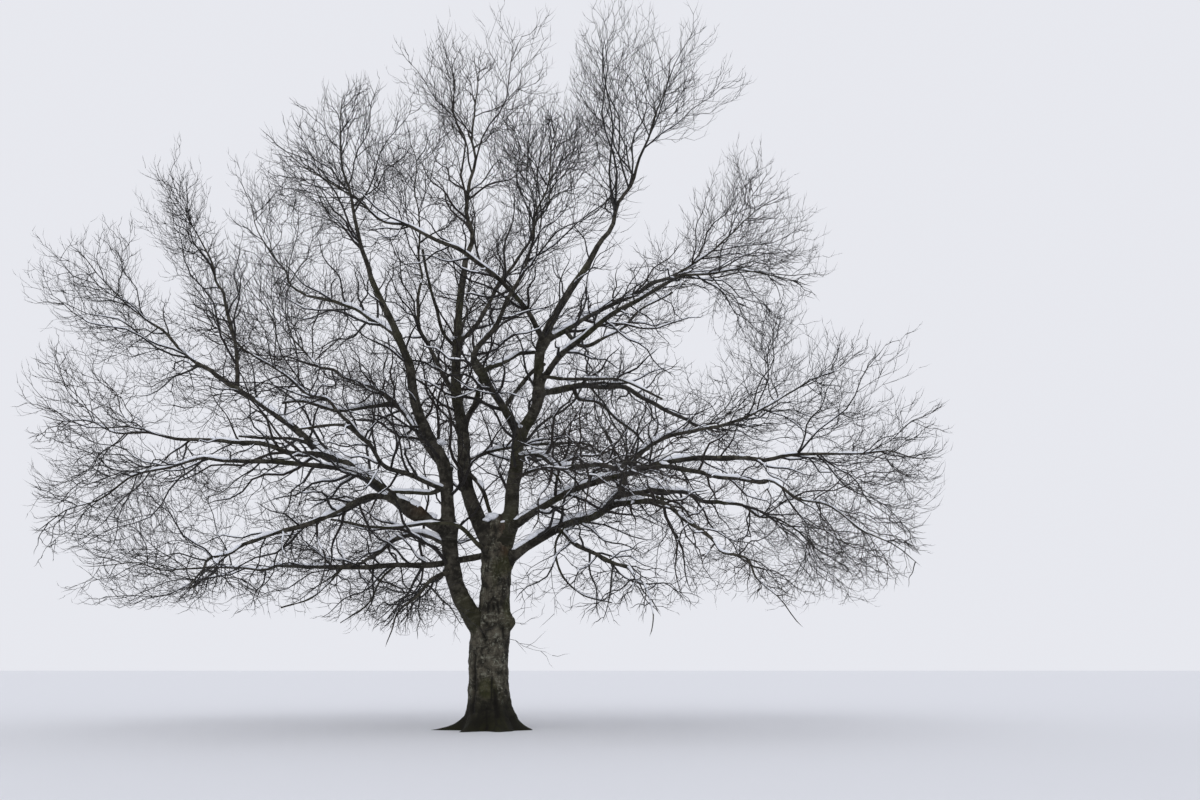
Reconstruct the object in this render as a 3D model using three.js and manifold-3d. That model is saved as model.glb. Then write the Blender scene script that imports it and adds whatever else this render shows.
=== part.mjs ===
// An old broad-crowned tree in winter, bare of leaves, standing on level ground.
// Lengths in the tables below are metres; the solids are made in millimetres, with +Z up.
// +X is to the right and +Y is away from someone who faces the tree; the origin is the middle of the foot.

import * as THREE from 'three';
import { mergeVertices } from 'three/addons/utils/BufferGeometryUtils.js';
import Module from 'manifold-3d';

const wasm = await Module();
wasm.setup();

const metre = 1000;
const clearance = 0.3; // millimetres left between pieces that meet

// Trunk
const trunk = {
  foot: [0, 0, 0],
  waist: [-0.07, 0, 1.9],
  fork: [0.04, 0, 3.0],
  top: [0.1, 0, 4.95],
  girth: 0.49, // radius at chest height
  neck: 0.375, // radius above the fork of the left stem
  neckFrom: 2.3, // the trunk narrows between these heights
  neckTo: 3.2,
  sides: 24,
  rings: 15,
  crowding: 1.35, // how much closer the rings lie at the foot
  closing: 0.6, // the top rounds over to this share of its girth, between the stems
};

// The flare of the roots, as ridges round the foot
const roots = {
  reach: 0.45, // how far a ridge stands out at the ground
  hollow: 0.42, // share of that reach between two ridges
  height: 0.33, // the flare fades upward over this height
  width: 22, // degrees from a ridge's crest to its side
  bearings: [-4, 52, 108, 176, 236, 300], // degrees round from +X
};

// Longer, lower roots, which run out along the ground
const lowRoots = {
  width: 9,
  height: 0.11,
  reach: { 180: 0.55, 240: 0.3, 285: 0.22, 0: 0.12, 90: 0.3 }, // by bearing
};

// A round swelling of the bark on the right side of the trunk
const burl = { bearing: -18, height: 2.62, out: 0.13, tall: 0.2, wide: 30 };

// How the twigs of a mass grow: each order of twigs in its turn, from the one before
const habits = {
  rising: { angle: 36, lift: [0, 0.26, 0.3], share: 0.8 },
  spreading: { angle: 40, lift: [0, 0.1, 0.16], share: 0.8 },
  hanging: { angle: 44, lift: [0, -0.3, -0.3], share: 0.75 },
};

const twigRule = {
  counts: [9, 2], // branches on a stem, twigs on a branch
  first: 0.1, // share of the stem before its first branch
  last: 0.97,
  turn: 137.5, // degrees round the stem from one branch to the next
  unevenTurn: 50, // and up to this many more
  taper: 0.66, // how much shorter a branch is at the stem's end than at its start
  uneven: 0.2, // lengths and angles differ by up to this share each way
  wander: 0.16, // sideways drift of each step, as a share of its length
  thin: [1, 0.46, 0.24], // radius of each order, as a share of what it grows from
  steps: [5, 2, 1], // straight lengths in each order
  tries: [1, 0.78, 0.58, 0.4], // shares of its length that a twig is tried at, until it fits
  sides: [5, 3, 3],
  end: 0.012, // radius of a stem at its far end
  apart: 0.12, // room kept between two masses
  offLimb: 0.05, // room kept between a twig and a limb
  sunk: 4, // length of a twig's root that isn't tested, in its own radii
  lowest: 1.9, // no twig hangs below this height at the trunk
  rise: 0.11, // how much higher that is for each metre from the trunk
  highest: 18.95,
  beyond: 0.12, // how much further than its stem's end a twig may reach from the crown's middle
};

const crownMiddle = new THREE.Vector3(-0.6, 0, 7);

// Limbs: each springs from another at a share of its length, goes through its bends to its tip,
// and tapers from one radius to the other. Its mass of twigs goes on from the tip to "reach".
const limbs = {
  leftStem: {
    on: 'trunk', at: 0.4, through: [
      [-0.7, -0.05, 3.05], [-1.05, -0.2, 4.25], [-1.15, -0.4, 5.7], [-1.3, -0.52, 6.65],
      [-1.8, -0.78, 7.7], [-2.3, -1.1, 9.25],
    ],
    tip: [-3.15, -1.6, 11.25], girth: [0.25, 0.07], reach: [-4.0, -2.0, 16.2], habit: 'rising', seed: 11,
  },
  centreStem: {
    on: 'trunk', at: 0.86, through: [
      [-0.4, 0.04, 5.15], [-0.8, 0.12, 6.4], [-0.85, 0.17, 7.5], [-1.05, 0.24, 8.6], [-1.15, 0.37, 10.4],
    ],
    tip: [-1.0, 0.5, 12.4], girth: [0.22, 0.08], reach: [-0.9, 0.6, 18.9], habit: 'rising', seed: 12,
  },
  rightStem: {
    on: 'trunk', at: 0.86, through: [
      [0.35, -0.02, 5.15], [0.55, 0, 6.4], [0.6, 0, 7.45], [1.0, 0.02, 8.3], [1.1, 0.1, 9.8],
      [1.55, 0.25, 10.8],
    ],
    tip: [2.65, 0.6, 12.9], girth: [0.215, 0.075], reach: [4.8, 1.2, 19.0], habit: 'rising', seed: 13,
  },
  crossLeft: {
    on: 'rightStem', at: 0.65, through: [[0.75, -0.5, 10.7], [0.15, -1.2, 11.3], [-0.7, -2.0, 11.75]],
    tip: [-1.35, -2.5, 11.9], girth: [0.075, 0.05], reach: [-4.8, -4.4, 13.5], habit: 'rising', seed: 14,
  },
  rightUpper: {
    on: 'rightStem', at: 0.63, through: [[1.65, 0.5, 10.45], [2.65, 1.2, 11.2]],
    tip: [4.3, 2.2, 12.4], girth: [0.1, 0.06], reach: [8.2, 3.2, 15.5], habit: 'rising', seed: 15,
  },
  rightArch: {
    on: 'rightStem', at: 0.52, through: [[1.95, -0.6, 9.65], [2.95, -1.6, 10.2]],
    tip: [4.15, -2.5, 10.65], girth: [0.085, 0.05], reach: [7.7, -3.7, 10.3], habit: 'hanging', seed: 16,
  },
  rightBack: {
    on: 'rightStem', at: 0.48, through: [[1.8, 1.2, 9.0], [2.95, 2.4, 9.35], [4.05, 3.7, 9.3]],
    tip: [5.2, 4.8, 8.95], girth: [0.1, 0.055], reach: [7.4, 8.0, 10.6], habit: 'spreading', seed: 17,
  },
  rightFront: {
    on: 'rightStem', at: 0.28, through: [[1.25, -1.0, 6.75], [1.8, -2.0, 6.2], [2.3, -3.2, 6.1]],
    tip: [2.8, -4.4, 5.9], girth: [0.08, 0.05], reach: [3.9, -8.4, 5.2], habit: 'spreading', seed: 18,
  },
  rightLow: {
    on: 'trunk', at: 0.78, through: [
      [0.75, -0.3, 4.4], [1.85, -0.35, 5.05], [2.65, -0.3, 5.3], [3.25, -0.05, 6.05], [3.45, 0.15, 6.7],
      [4.35, 0.55, 7.45],
    ],
    tip: [5.3, 0.9, 7.75], girth: [0.155, 0.06], reach: [9.9, 2.0, 10.2], habit: 'spreading', seed: 19,
  },
  rightBow: {
    on: 'rightLow', at: 0.53, through: [[3.7, 0.4, 6.0], [4.35, 1.0, 6.2], [5.5, 2.4, 6.1]],
    tip: [6.3, 3.3, 6.1], girth: [0.085, 0.055], reach: [10.4, 5.8, 4.4], habit: 'spreading', seed: 20,
  },
  rightDroop: {
    on: 'rightLow', at: 0.49, through: [[3.8, -0.7, 5.65], [4.5, -1.6, 5.25]],
    tip: [5.2, -3.0, 4.5], girth: [0.08, 0.045], reach: [6.9, -5.6, 2.3], habit: 'hanging', seed: 21,
  },
  frontDroop: {
    on: 'rightLow', at: 0.28, through: [[1.95, -0.8, 4.65], [2.7, -1.9, 4.15]],
    tip: [3.35, -3.1, 3.75], girth: [0.06, 0.04], reach: [3.7, -6.4, 2.1], habit: 'hanging', seed: 22,
  },
  rightFar: {
    on: 'trunk', at: 0.95, through: [
      [1.2, -0.25, 5.45], [2.35, -0.5, 6.05], [3.5, -0.7, 6.3], [4.65, -0.9, 6.6],
    ],
    tip: [6.1, -1.1, 6.65], girth: [0.12, 0.065], reach: [11.4, -0.8, 6.7], habit: 'spreading', seed: 23,
  },
  rightOut: {
    on: 'rightFar', at: 0.7, through: [[5.05, -1.6, 6.25], [5.65, -2.5, 5.9]],
    tip: [6.25, -3.3, 5.7], girth: [0.065, 0.045], reach: [9.6, -4.9, 3.6], habit: 'hanging', seed: 24,
  },
  bigLeft: {
    on: 'leftStem', at: 0.32, through: [
      [-1.55, -0.65, 5.1], [-2.25, -0.98, 5.55], [-3.3, -1.08, 6.3], [-4.45, -0.78, 6.9],
      [-5.5, -0.3, 7.8],
    ],
    tip: [-7.65, 0.6, 9.2], girth: [0.15, 0.065], reach: [-11.9, 0.8, 12.9], habit: 'spreading', seed: 25,
    swell: { at: 0.14, out: 0.09, long: 0.33 }, // a lump near its root, where it forks
  },
  leftRise: {
    on: 'bigLeft', at: 0.9, through: [[-7.2, 0.85, 9.95]],
    tip: [-7.85, 1.4, 11.6], girth: [0.06, 0.045], reach: [-10.0, 2.4, 15.2], habit: 'rising', seed: 26,
  },
  leftFar: {
    on: 'bigLeft', at: 0.37, through: [[-4.15, -1.3, 6.7], [-4.95, -1.5, 6.7], [-5.65, -1.55, 6.95]],
    tip: [-7.0, -1.6, 7.0], girth: [0.08, 0.05], reach: [-11.4, -1.3, 7.7], habit: 'spreading', seed: 27,
  },
  leftLow: {
    on: 'bigLeft', at: 0.27, through: [[-3.45, -1.5, 6.2], [-4.2, -2.1, 6.3], [-5.05, -2.7, 6.25]],
    tip: [-5.8, -3.2, 6.2], girth: [0.075, 0.05], reach: [-9.6, -4.7, 4.3], habit: 'spreading', seed: 28,
  },
  leftFront: {
    on: 'bigLeft', at: 0.21, through: [[-2.9, -1.6, 5.6], [-3.6, -2.7, 5.0]],
    tip: [-4.95, -4.3, 4.2], girth: [0.085, 0.045], reach: [-4.6, -8.4, 2.8], habit: 'hanging', seed: 29,
  },
  leftBack: {
    on: 'leftStem', at: 0.28, through: [[-1.75, 0.6, 4.85], [-2.3, 1.3, 4.95], [-3.0, 2.2, 4.85]],
    tip: [-3.75, 3.2, 4.55], girth: [0.085, 0.055], reach: [-6.8, 8.0, 5.4], habit: 'spreading', seed: 30,
  },
  leftFlat: {
    on: 'trunk', at: 0.88, through: [[-0.9, 0.42, 4.25], [-1.55, 0.4, 4.15], [-3.35, 1.0, 4.15]],
    tip: [-5.8, 1.9, 4.2], girth: [0.085, 0.05], reach: [-11.9, 3.0, 4.3], habit: 'spreading', seed: 41,
  },
  leftMid: {
    on: 'leftStem', at: 0.42, through: [[-2.0, -1.5, 6.2], [-2.5, -2.3, 6.3], [-2.75, -3.1, 6.7]],
    tip: [-3.05, -3.9, 7.0], girth: [0.065, 0.045], reach: [-5.9, -7.2, 8.6], habit: 'spreading', seed: 32,
  },
  leftUp: {
    on: 'leftStem', at: 0.47, through: [[-1.75, -0.1, 7.1], [-2.65, 1.0, 8.2], [-3.35, 1.9, 8.95]],
    tip: [-4.7, 3.2, 9.75], girth: [0.09, 0.055], reach: [-8.4, 6.0, 13.4], habit: 'rising', seed: 33,
  },
  leftOver: {
    on: 'leftStem', at: 0.83, through: [[-3.2, -0.35, 10.4], [-4.0, 0.35, 11.1]],
    tip: [-5.2, 1.4, 11.65], girth: [0.07, 0.045], reach: [-8.0, 2.6, 15.6], habit: 'rising', seed: 34,
  },
  centreLeft: {
    on: 'centreStem', at: 0.53, through: [[-1.6, 0.8, 9.45], [-2.05, 1.4, 10.3], [-2.5, 2.0, 11.15]],
    tip: [-2.6, 2.7, 12.3], girth: [0.07, 0.045], reach: [-3.2, 3.4, 18.0], habit: 'rising', seed: 35,
  },
  centreBack: {
    on: 'centreStem', at: 0.48, through: [[-1.35, 2.0, 9.8]],
    tip: [-1.4, 3.7, 11.6], girth: [0.07, 0.045], reach: [-1.4, 7.2, 15.4], habit: 'rising', seed: 36,
  },
  centreRight: {
    on: 'centreStem', at: 0.72, through: [[-0.8, 0.8, 10.6], [-0.4, 1.4, 11.5]],
    tip: [0.35, 2.4, 13.25], girth: [0.065, 0.045], reach: [1.6, 3.6, 18.6], habit: 'rising', seed: 37,
  },
  centreFront: {
    on: 'rightStem', at: 0.35, through: [
      [0.25, -0.5, 8.0], [-0.15, -1.2, 8.65], [-0.4, -1.7, 9.15], [0.1, -2.3, 9.7],
    ],
    tip: [0.5, -2.9, 10.3], girth: [0.115, 0.05], reach: [1.8, -6.0, 13.6], habit: 'rising', seed: 38,
    swell: { at: 0.5, out: 0.06, long: 0.28 }, // a knob where it bends
  },
  rightRear: {
    on: 'centreStem', at: 0.32, through: [[-0.25, 0.8, 7.1], [0.7, 2.0, 7.6]],
    tip: [2.05, 4.4, 8.1], girth: [0.06, 0.04], reach: [1.6, 8.8, 8.0], habit: 'spreading', seed: 39,
  },
};

// One small mass hangs straight from the left stem, low in front
const lowSpray = {
  on: 'leftStem', at: 0.21, through: [-2.15, -1.3, 3.5], girth: 0.07, reach: [-2.2, -2.7, 1.95],
  habit: 'hanging', seed: 40,
};

// A thick limb has more sides than a slim one, and its rings are closer
const limbShape = {
  thickFrom: 0.12, // radius at the root
  thick: { sides: 8, step: 0.9 }, // metres between two rings
  slim: { sides: 6, step: 1.2 },
};
const collar = { out: 0.35, fade: 1.6 }; // a limb's swollen root, in its own radii
const inset = { share: 0.95, slope: 0.6 }; // inside what it springs from, a limb is kept slimmer than that
const limbTaper = 1.1;
const routeSteps = 60; // points along every route
const stemLead = 0.45; // how far a mass's stem keeps the direction of its limb, as a share of its length

// Colours and finishes of a wet winter's day
const bark = { color: 0x3b3631, roughness: 0.94, metalness: 0 };
const limbBark = { color: 0x2e2a28, roughness: 0.92, metalness: 0 };
const twigBark = { color: 0x241f1e, roughness: 0.88, metalness: 0 };

// Small helpers
const vector = ([x, y, z]) => new THREE.Vector3(x, y, z);
const radians = THREE.MathUtils.degToRad;
const up = new THREE.Vector3(0, 0, 1);
const steep = 0.9; // a direction that rises more than this is taken as upright

// A repeatable random number from 0 to 1 at each call: the same seed always grows the same twig
function seeded(seed) {
  let state = seed >>> 0;
  return () => {
    state = (state + 0x6d2b79f5) >>> 0;
    let mixed = Math.imul(state ^ (state >>> 15), state | 1);
    mixed ^= mixed + Math.imul(mixed ^ (mixed >>> 7), mixed | 61);
    return ((mixed ^ (mixed >>> 14)) >>> 0) / 4294967296;
  };
}

const vary = (random) => 1 + twigRule.uneven * (2 * random() - 1);

const childSeed = (seed, index) => (Math.imul(seed, 31) + (index + 1) * 7919) >>> 0;

// A route is a line of points, the direction at each of them and the length of the whole
function routeOf(points) {
  const ahead = points.map((point, index) => {
    const before = points[Math.max(index - 1, 0)];
    const after = points[Math.min(index + 1, points.length - 1)];
    return after.clone().sub(before).normalize();
  });
  const length = points.slice(1).reduce((sum, point, index) => sum + point.distanceTo(points[index]), 0);
  return { points, ahead, length };
}

function smoothRoute(places) {
  const curve = new THREE.CatmullRomCurve3(places.map((place) => place.clone()));
  return routeOf(curve.getSpacedPoints(routeSteps));
}

// The same route with fewer points, for the rings of a solid
function coarser(route, count) {
  const picked = Array.from({ length: count + 1 }, (_, ring) => Math.round((ring / count) * routeSteps));
  return {
    points: picked.map((index) => route.points[index]),
    ahead: picked.map((index) => route.ahead[index]),
    length: route.length,
  };
}

const pointAt = (route, share) => route.points[Math.round(share * (route.points.length - 1))];

// A unit vector square to a direction
function squareTo(ahead) {
  const helper = Math.abs(ahead.z) > steep ? new THREE.Vector3(1, 0, 0) : up;
  return new THREE.Vector3().crossVectors(ahead, helper).normalize();
}

// A closed bar with a ring of corners round each point. radiusAt takes the share along and the bearing.
function bar({ points, ahead }, radiusAt, sides) {
  const steps = points.length - 1;
  const pointed = radiusAt(1, 0) === 0;
  const geometry = new THREE.CylinderGeometry(pointed ? 0 : 1, 1, 1, sides, steps);
  geometry.deleteAttribute('normal');
  geometry.deleteAttribute('uv');
  const merged = mergeVertices(geometry);
  let side = squareTo(ahead[0]);
  const frames = points.map((point, index) => {
    side = side.clone().addScaledVector(ahead[index], -side.dot(ahead[index])).normalize();
    return { point, side, other: side.clone().cross(ahead[index]) };
  });
  const position = merged.attributes.position;
  for (let index = 0; index < position.count; index += 1) {
    const share = position.getY(index) + 0.5;
    const frame = frames[Math.round(share * steps)];
    const out = frame.side.clone().multiplyScalar(position.getX(index));
    out.addScaledVector(frame.other, position.getZ(index));
    const radius = radiusAt(share, Math.atan2(out.y, out.x));
    const corner = frame.point.clone().addScaledVector(out, radius).multiplyScalar(metre);
    position.setXYZ(index, corner.x, corner.y, corner.z);
  }
  return merged;
}

// From a closed mesh to a solid that can be joined and cut, and back again
function toSolid(geometry) {
  return new wasm.Manifold(new wasm.Mesh({
    numProp: 3,
    vertProperties: new Float32Array(geometry.attributes.position.array),
    triVerts: new Uint32Array(geometry.index.array),
  }));
}

function toGeometry(solid) {
  const mesh = solid.getMesh();
  const geometry = new THREE.BufferGeometry();
  geometry.setAttribute('position', new THREE.BufferAttribute(mesh.vertProperties, 3));
  geometry.setIndex(new THREE.BufferAttribute(mesh.triVerts, 1));
  return geometry;
}

const largest = (solid) => solid.decompose().sort((a, b) => b.volume() - a.volume())[0];

// Trunk: level rings, so that the cut at the ground is flat
const between = (value, from, to) => THREE.MathUtils.smoothstep(value, from, to);
const angleApart = (a, b) => Math.abs(((a - b) % 360 + 540) % 360 - 180);

function trunkRadius(height, bearing) {
  const degrees = THREE.MathUtils.radToDeg(bearing);
  const column = trunk.girth + (trunk.neck - trunk.girth) * between(height, trunk.neckFrom, trunk.neckTo);
  const nearest = Math.min(...roots.bearings.map((crest) => angleApart(degrees, crest)));
  const ridge = roots.hollow + (1 - roots.hollow) * Math.exp(-((nearest / roots.width) ** 2));
  const flare = roots.reach * ridge * Math.exp(-height / roots.height);
  const along = Object.entries(lowRoots.reach).map(([crest, reach]) => (
    reach * Math.exp(-((angleApart(degrees, Number(crest)) / lowRoots.width) ** 2) - height / lowRoots.height)
  ));
  const above = (height - burl.height) / burl.tall;
  const round = angleApart(degrees, burl.bearing) / burl.wide;
  return column + flare + Math.max(...along) + burl.out * Math.exp(-(above ** 2) - round ** 2);
}

const trunkRoute = smoothRoute([trunk.foot, trunk.waist, trunk.fork, trunk.top].map(vector));

function trunkSolid(grow) {
  const points = [];
  for (let ring = 0; ring <= trunk.rings; ring += 1) {
    points.push(pointAt(trunkRoute, (ring / trunk.rings) ** trunk.crowding).clone());
  }
  points[trunk.rings].z += grow;
  const level = points.map(() => up);
  return toSolid(bar({ points, ahead: level }, (share, bearing) => {
    const closing = share === 1 ? trunk.closing : 1;
    return trunkRadius(points[Math.round(share * trunk.rings)].z, bearing) * closing + grow;
  }, trunk.sides));
}

// Limbs
function limbRoute(limb) {
  const start = pointAt(routes[limb.on], limb.at);
  return smoothRoute([start, ...limb.through.map(vector), vector(limb.tip)]);
}

function limbRadius(name, share) {
  const { on, at, girth, swell } = limbs[name];
  const [thick, slim] = girth;
  const { length } = routes[name];
  const run = share * length;
  const swollen = 1 + collar.out * Math.exp(-run / (collar.fade * thick));
  const lump = swell ? swell.out * Math.exp(-(((share - swell.at) * length / swell.long) ** 2)) : 0;
  const parent = on === 'trunk' ? trunk.neck : limbRadius(on, at);
  const radius = (slim + (thick - slim) * (1 - share) ** limbTaper) * swollen + lump;
  return Math.min(radius, parent * inset.share + run * inset.slope);
}

const shapeOf = (name) => (limbs[name].girth[0] > limbShape.thickFrom ? limbShape.thick : limbShape.slim);

function limbSolid(name, grow) {
  return toSolid(bar(shapes[name], (share) => limbRadius(name, share) + grow, shapeOf(name).sides));
}

const routes = { trunk: trunkRoute };
const shapes = { trunk: trunkRoute };
for (const [name, limb] of Object.entries(limbs)) {
  routes[name] = limbRoute(limb);
  shapes[name] = coarser(routes[name], Math.round(routes[name].length / shapeOf(name).step) + 1);
}

// Stem of a mass: it leaves the limb's tip in line with it and curves to the reach
function sprayStem(name) {
  const { points, ahead } = routes[name];
  const tip = points[routeSteps];
  const onward = ahead[routeSteps];
  const reach = vector(limbs[name].reach);
  const start = tip.clone().addScaledVector(onward, clearance / metre);
  const middle = tip.clone().addScaledVector(onward, tip.distanceTo(reach) * stemLead);
  const route = routeOf(new THREE.QuadraticBezierCurve3(start, middle, reach).getPoints(routeSteps));
  route.ahead[0] = onward;
  return coarser(route, twigRule.steps[0]);
}

function lowStem() {
  const start = pointAt(routes[lowSpray.on], lowSpray.at);
  const curve = new THREE.QuadraticBezierCurve3(start, vector(lowSpray.through), vector(lowSpray.reach));
  return coarser(routeOf(curve.getPoints(routeSteps)), twigRule.steps[0]);
}

const stems = {};
for (const name of Object.keys(limbs)) {
  stems[name] = sprayStem(name);
}
stems.low = lowStem();

// How far a point is from a route, and at which share of it
function distanceTo(point, { points }) {
  const segment = new THREE.Line3();
  const foot = new THREE.Vector3();
  let nearest = Infinity;
  let share = 0;
  for (let index = 1; index < points.length; index += 1) {
    segment.set(points[index - 1], points[index]);
    segment.closestPointToPoint(point, true, foot);
    const distance = foot.distanceTo(point);
    if (distance < nearest) {
      nearest = distance;
      share = (index - 1 + segment.closestPointToPointParameter(point, true)) / (points.length - 1);
    }
  }
  return { nearest, share };
}

// Whether a point is in the mass's own space and clear of every limb
function hasRoom(point, owner, radius) {
  const furthest = crownMiddle.distanceTo(stems[owner].points.at(-1)) + twigRule.beyond;
  const lowest = twigRule.lowest + twigRule.rise * Math.hypot(point.x, point.y);
  if (point.z < lowest || point.z > twigRule.highest || point.distanceTo(crownMiddle) > furthest) {
    return false;
  }
  const own = distanceTo(point, stems[owner]).nearest;
  for (const [name, stem] of Object.entries(stems)) {
    if (name !== owner && distanceTo(point, stem).nearest < own + twigRule.apart + radius * 2) {
      return false;
    }
  }
  for (const [name, shape] of Object.entries(shapes)) {
    const { nearest, share } = distanceTo(point, shape);
    const thick = name === 'trunk' ? trunk.girth + burl.out : limbRadius(name, share);
    if (nearest < thick + radius + twigRule.offLimb) {
      return false;
    }
  }
  return true;
}

// The same test along a whole twig, apart from its sunk root
function fits(points, owner, radius) {
  const rootLength = radius * twigRule.sunk + twigRule.offLimb * 2;
  for (let index = 1; index < points.length; index += 1) {
    const pieces = Math.ceil(points[index].distanceTo(points[index - 1]) / twigRule.apart);
    for (let piece = 1; piece <= pieces; piece += 1) {
      const spot = points[index - 1].clone().lerp(points[index], piece / pieces);
      if (spot.distanceTo(points[0]) > rootLength && !hasRoom(spot, owner, radius)) {
        return false;
      }
    }
  }
  return true;
}

// The directions of a twig's steps: each drifts a little and bends by its habit's lift
function headings(first, order, habit, random) {
  const steps = twigRule.steps[order];
  const ahead = first.clone();
  return Array.from({ length: steps }, () => {
    const drift = new THREE.Vector3(random() - 0.5, random() - 0.5, random() - 0.5);
    ahead.addScaledVector(drift, 2 * twigRule.wander).addScaledVector(up, habit.lift[order] / steps);
    return ahead.normalize().clone();
  });
}

// One twig: a walk of a few equal steps
function walk(start, steps, length) {
  const points = [start];
  for (const ahead of steps) {
    points.push(points.at(-1).clone().addScaledVector(ahead, length / steps.length));
  }
  return points;
}

// The direction in which a twig leaves its parent: turned round it by its number, out by the habit's angle
function leaving(ahead, index, habit, random) {
  const turn = twigRule.turn * index + twigRule.unevenTurn * random();
  const side = squareTo(ahead).applyAxisAngle(ahead, radians(turn));
  const angle = radians(habit.angle * vary(random));
  return ahead.clone().multiplyScalar(Math.cos(angle)).addScaledVector(side, Math.sin(angle));
}

// Twigs that spring from a parent twig, and in turn those that spring from each of them
function growOrder(parent, order, owner, habit, seed, grown) {
  const count = twigRule.counts[order - 1];
  const { points, radius, length } = parent;
  for (let index = 0; index < count; index += 1) {
    const own = childSeed(seed, index);
    const random = seeded(own);
    const place = (index + random()) / count;
    const share = twigRule.first + (twigRule.last - twigRule.first) * place;
    const along = share * (points.length - 1);
    const from = Math.floor(along);
    const start = points[from].clone().lerp(points[from + 1], along - from);
    const ahead = points[from + 1].clone().sub(points[from]).normalize();
    const heading = leaving(ahead, index, habit, random);
    const longest = length * habit.share * (1 - twigRule.taper * share) * vary(random);
    const girth = radius(share) * twigRule.thin[order];
    const steps = headings(heading, order, habit, random);
    const cut = twigRule.tries.find((part) => fits(walk(start, steps, longest * part), owner, girth));
    if (cut) {
      const reach = longest * cut;
      const twig = { points: walk(start, steps, reach), radius: (at) => girth * (1 - at), length: reach, order };
      grown.push(twig);
      if (order < twigRule.counts.length) {
        growOrder(twig, order + 1, owner, habit, own, grown);
      }
    }
  }
}

// A whole mass: its stem and everything that grows from it, joined into one solid
function spraySolid(name) {
  const { habit, seed } = name === 'low' ? lowSpray : limbs[name];
  const thick = name === 'low' ? lowSpray.girth : limbs[name].girth[1];
  const radius = (share) => twigRule.end + (thick - twigRule.end) * (1 - share) ** limbTaper;
  const stem = { ...stems[name], radius, order: 0 };
  const grown = [];
  growOrder(stem, 1, name, habits[habit], seed, grown);
  const parts = [stem, ...grown.map((twig) => ({ ...twig, ...routeOf(twig.points) }))];
  const solidParts = parts.map((twig) => toSolid(bar(twig, twig.radius, twigRule.sides[twig.order])));
  return largest(wasm.Manifold.union(solidParts));
}

// The whole tree
const tree = new THREE.Group();
const grownSolids = { trunk: trunkSolid(clearance / metre) };

function addMesh(name, solid, finish) {
  const mesh = new THREE.Mesh(toGeometry(solid), new THREE.MeshStandardMaterial(finish));
  mesh.name = name;
  tree.add(mesh);
}

addMesh('trunk', trunkSolid(0), bark);

for (const name of Object.keys(limbs)) {
  let solid = limbSolid(name, 0);
  for (const other of Object.values(grownSolids)) {
    solid = solid.subtract(other);
  }
  grownSolids[name] = limbSolid(name, clearance / metre / Math.cos(Math.PI / limbShape.slim.sides));
  addMesh(`${name}_bough`, largest(solid), limbBark);
}

for (const name of Object.keys(limbs)) {
  addMesh(`${name}_twigs`, spraySolid(name), twigBark);
}
addMesh('low_twigs', largest(spraySolid('low').subtract(grownSolids[lowSpray.on])), twigBark);

export default tree;
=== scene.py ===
# An old, broad-crowned tree in winter: bark with relief, fine twigs on every bough, thin snow where it lies
import math

import bpy
import numpy as np
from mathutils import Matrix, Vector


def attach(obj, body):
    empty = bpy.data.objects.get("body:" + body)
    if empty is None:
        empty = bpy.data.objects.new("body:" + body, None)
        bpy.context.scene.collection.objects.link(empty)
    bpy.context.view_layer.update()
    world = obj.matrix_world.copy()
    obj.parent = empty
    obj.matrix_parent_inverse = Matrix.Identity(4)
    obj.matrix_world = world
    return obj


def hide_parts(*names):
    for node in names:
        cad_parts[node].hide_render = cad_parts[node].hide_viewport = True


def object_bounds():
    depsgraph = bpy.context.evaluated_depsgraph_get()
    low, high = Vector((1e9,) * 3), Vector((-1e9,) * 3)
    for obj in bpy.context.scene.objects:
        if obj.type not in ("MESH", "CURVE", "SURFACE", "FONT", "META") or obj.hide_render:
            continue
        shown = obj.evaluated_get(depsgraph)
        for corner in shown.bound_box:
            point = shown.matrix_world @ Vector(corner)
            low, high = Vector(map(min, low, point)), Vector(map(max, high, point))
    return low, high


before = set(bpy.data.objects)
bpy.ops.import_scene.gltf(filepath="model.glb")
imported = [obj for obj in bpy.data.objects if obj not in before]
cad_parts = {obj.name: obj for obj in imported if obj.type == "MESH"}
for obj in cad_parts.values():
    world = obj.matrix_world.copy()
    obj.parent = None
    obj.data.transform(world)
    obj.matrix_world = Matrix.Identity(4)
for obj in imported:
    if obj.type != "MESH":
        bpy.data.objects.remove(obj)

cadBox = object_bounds()
body = "root"

# Camera: 30 m from the trunk, with the lens at eye height
view = {"place": (2.72, -30.0, 1.5), "upward": 12.93, "lens": 35, "sensor": 36, "farthest": 2000}

# Trunk, in metres: +X right, +Y away from the camera, +Z up
trunk = {
    "route": [(0, 0, 0), (-0.07, 0, 1.9), (0.04, 0, 3.0), (0.1, 0, 4.95)],
    "girth": 0.49,  # radius at chest height
    "neck": 0.375,  # radius above the fork of the left stem
    "neckFrom": 2.3,
    "neckTo": 3.2,
}

roots = {"reach": 0.45, "hollow": 0.42, "height": 0.33, "width": 22, "bearings": [-4, 52, 108, 176, 236, 300]}
lowRoots = {"width": 9, "height": 0.11, "reach": {180: 0.55, 240: 0.3, 285: 0.22, 0: 0.12, 90: 0.3}}
burl = {
    "bearing": -18, "height": 2.62, "out": 0.13, "tall": 0.2, "wide": 30,
    "bump": 0.03, "bumpWide": 0.07,  # its own fine bumps
}

# How the twigs of a mass grow, as in the source
habits = {
    "rising": {"angle": 36, "lift": [0, 0.26, 0.3, 0.4, 0.4], "share": 0.8},
    "spreading": {"angle": 40, "lift": [0, 0.1, 0.16, 0.4, 0.45], "share": 0.8},
    "hanging": {"angle": 44, "lift": [0, -0.3, -0.3, 0.1, 0.4], "share": 0.75},
}

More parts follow.
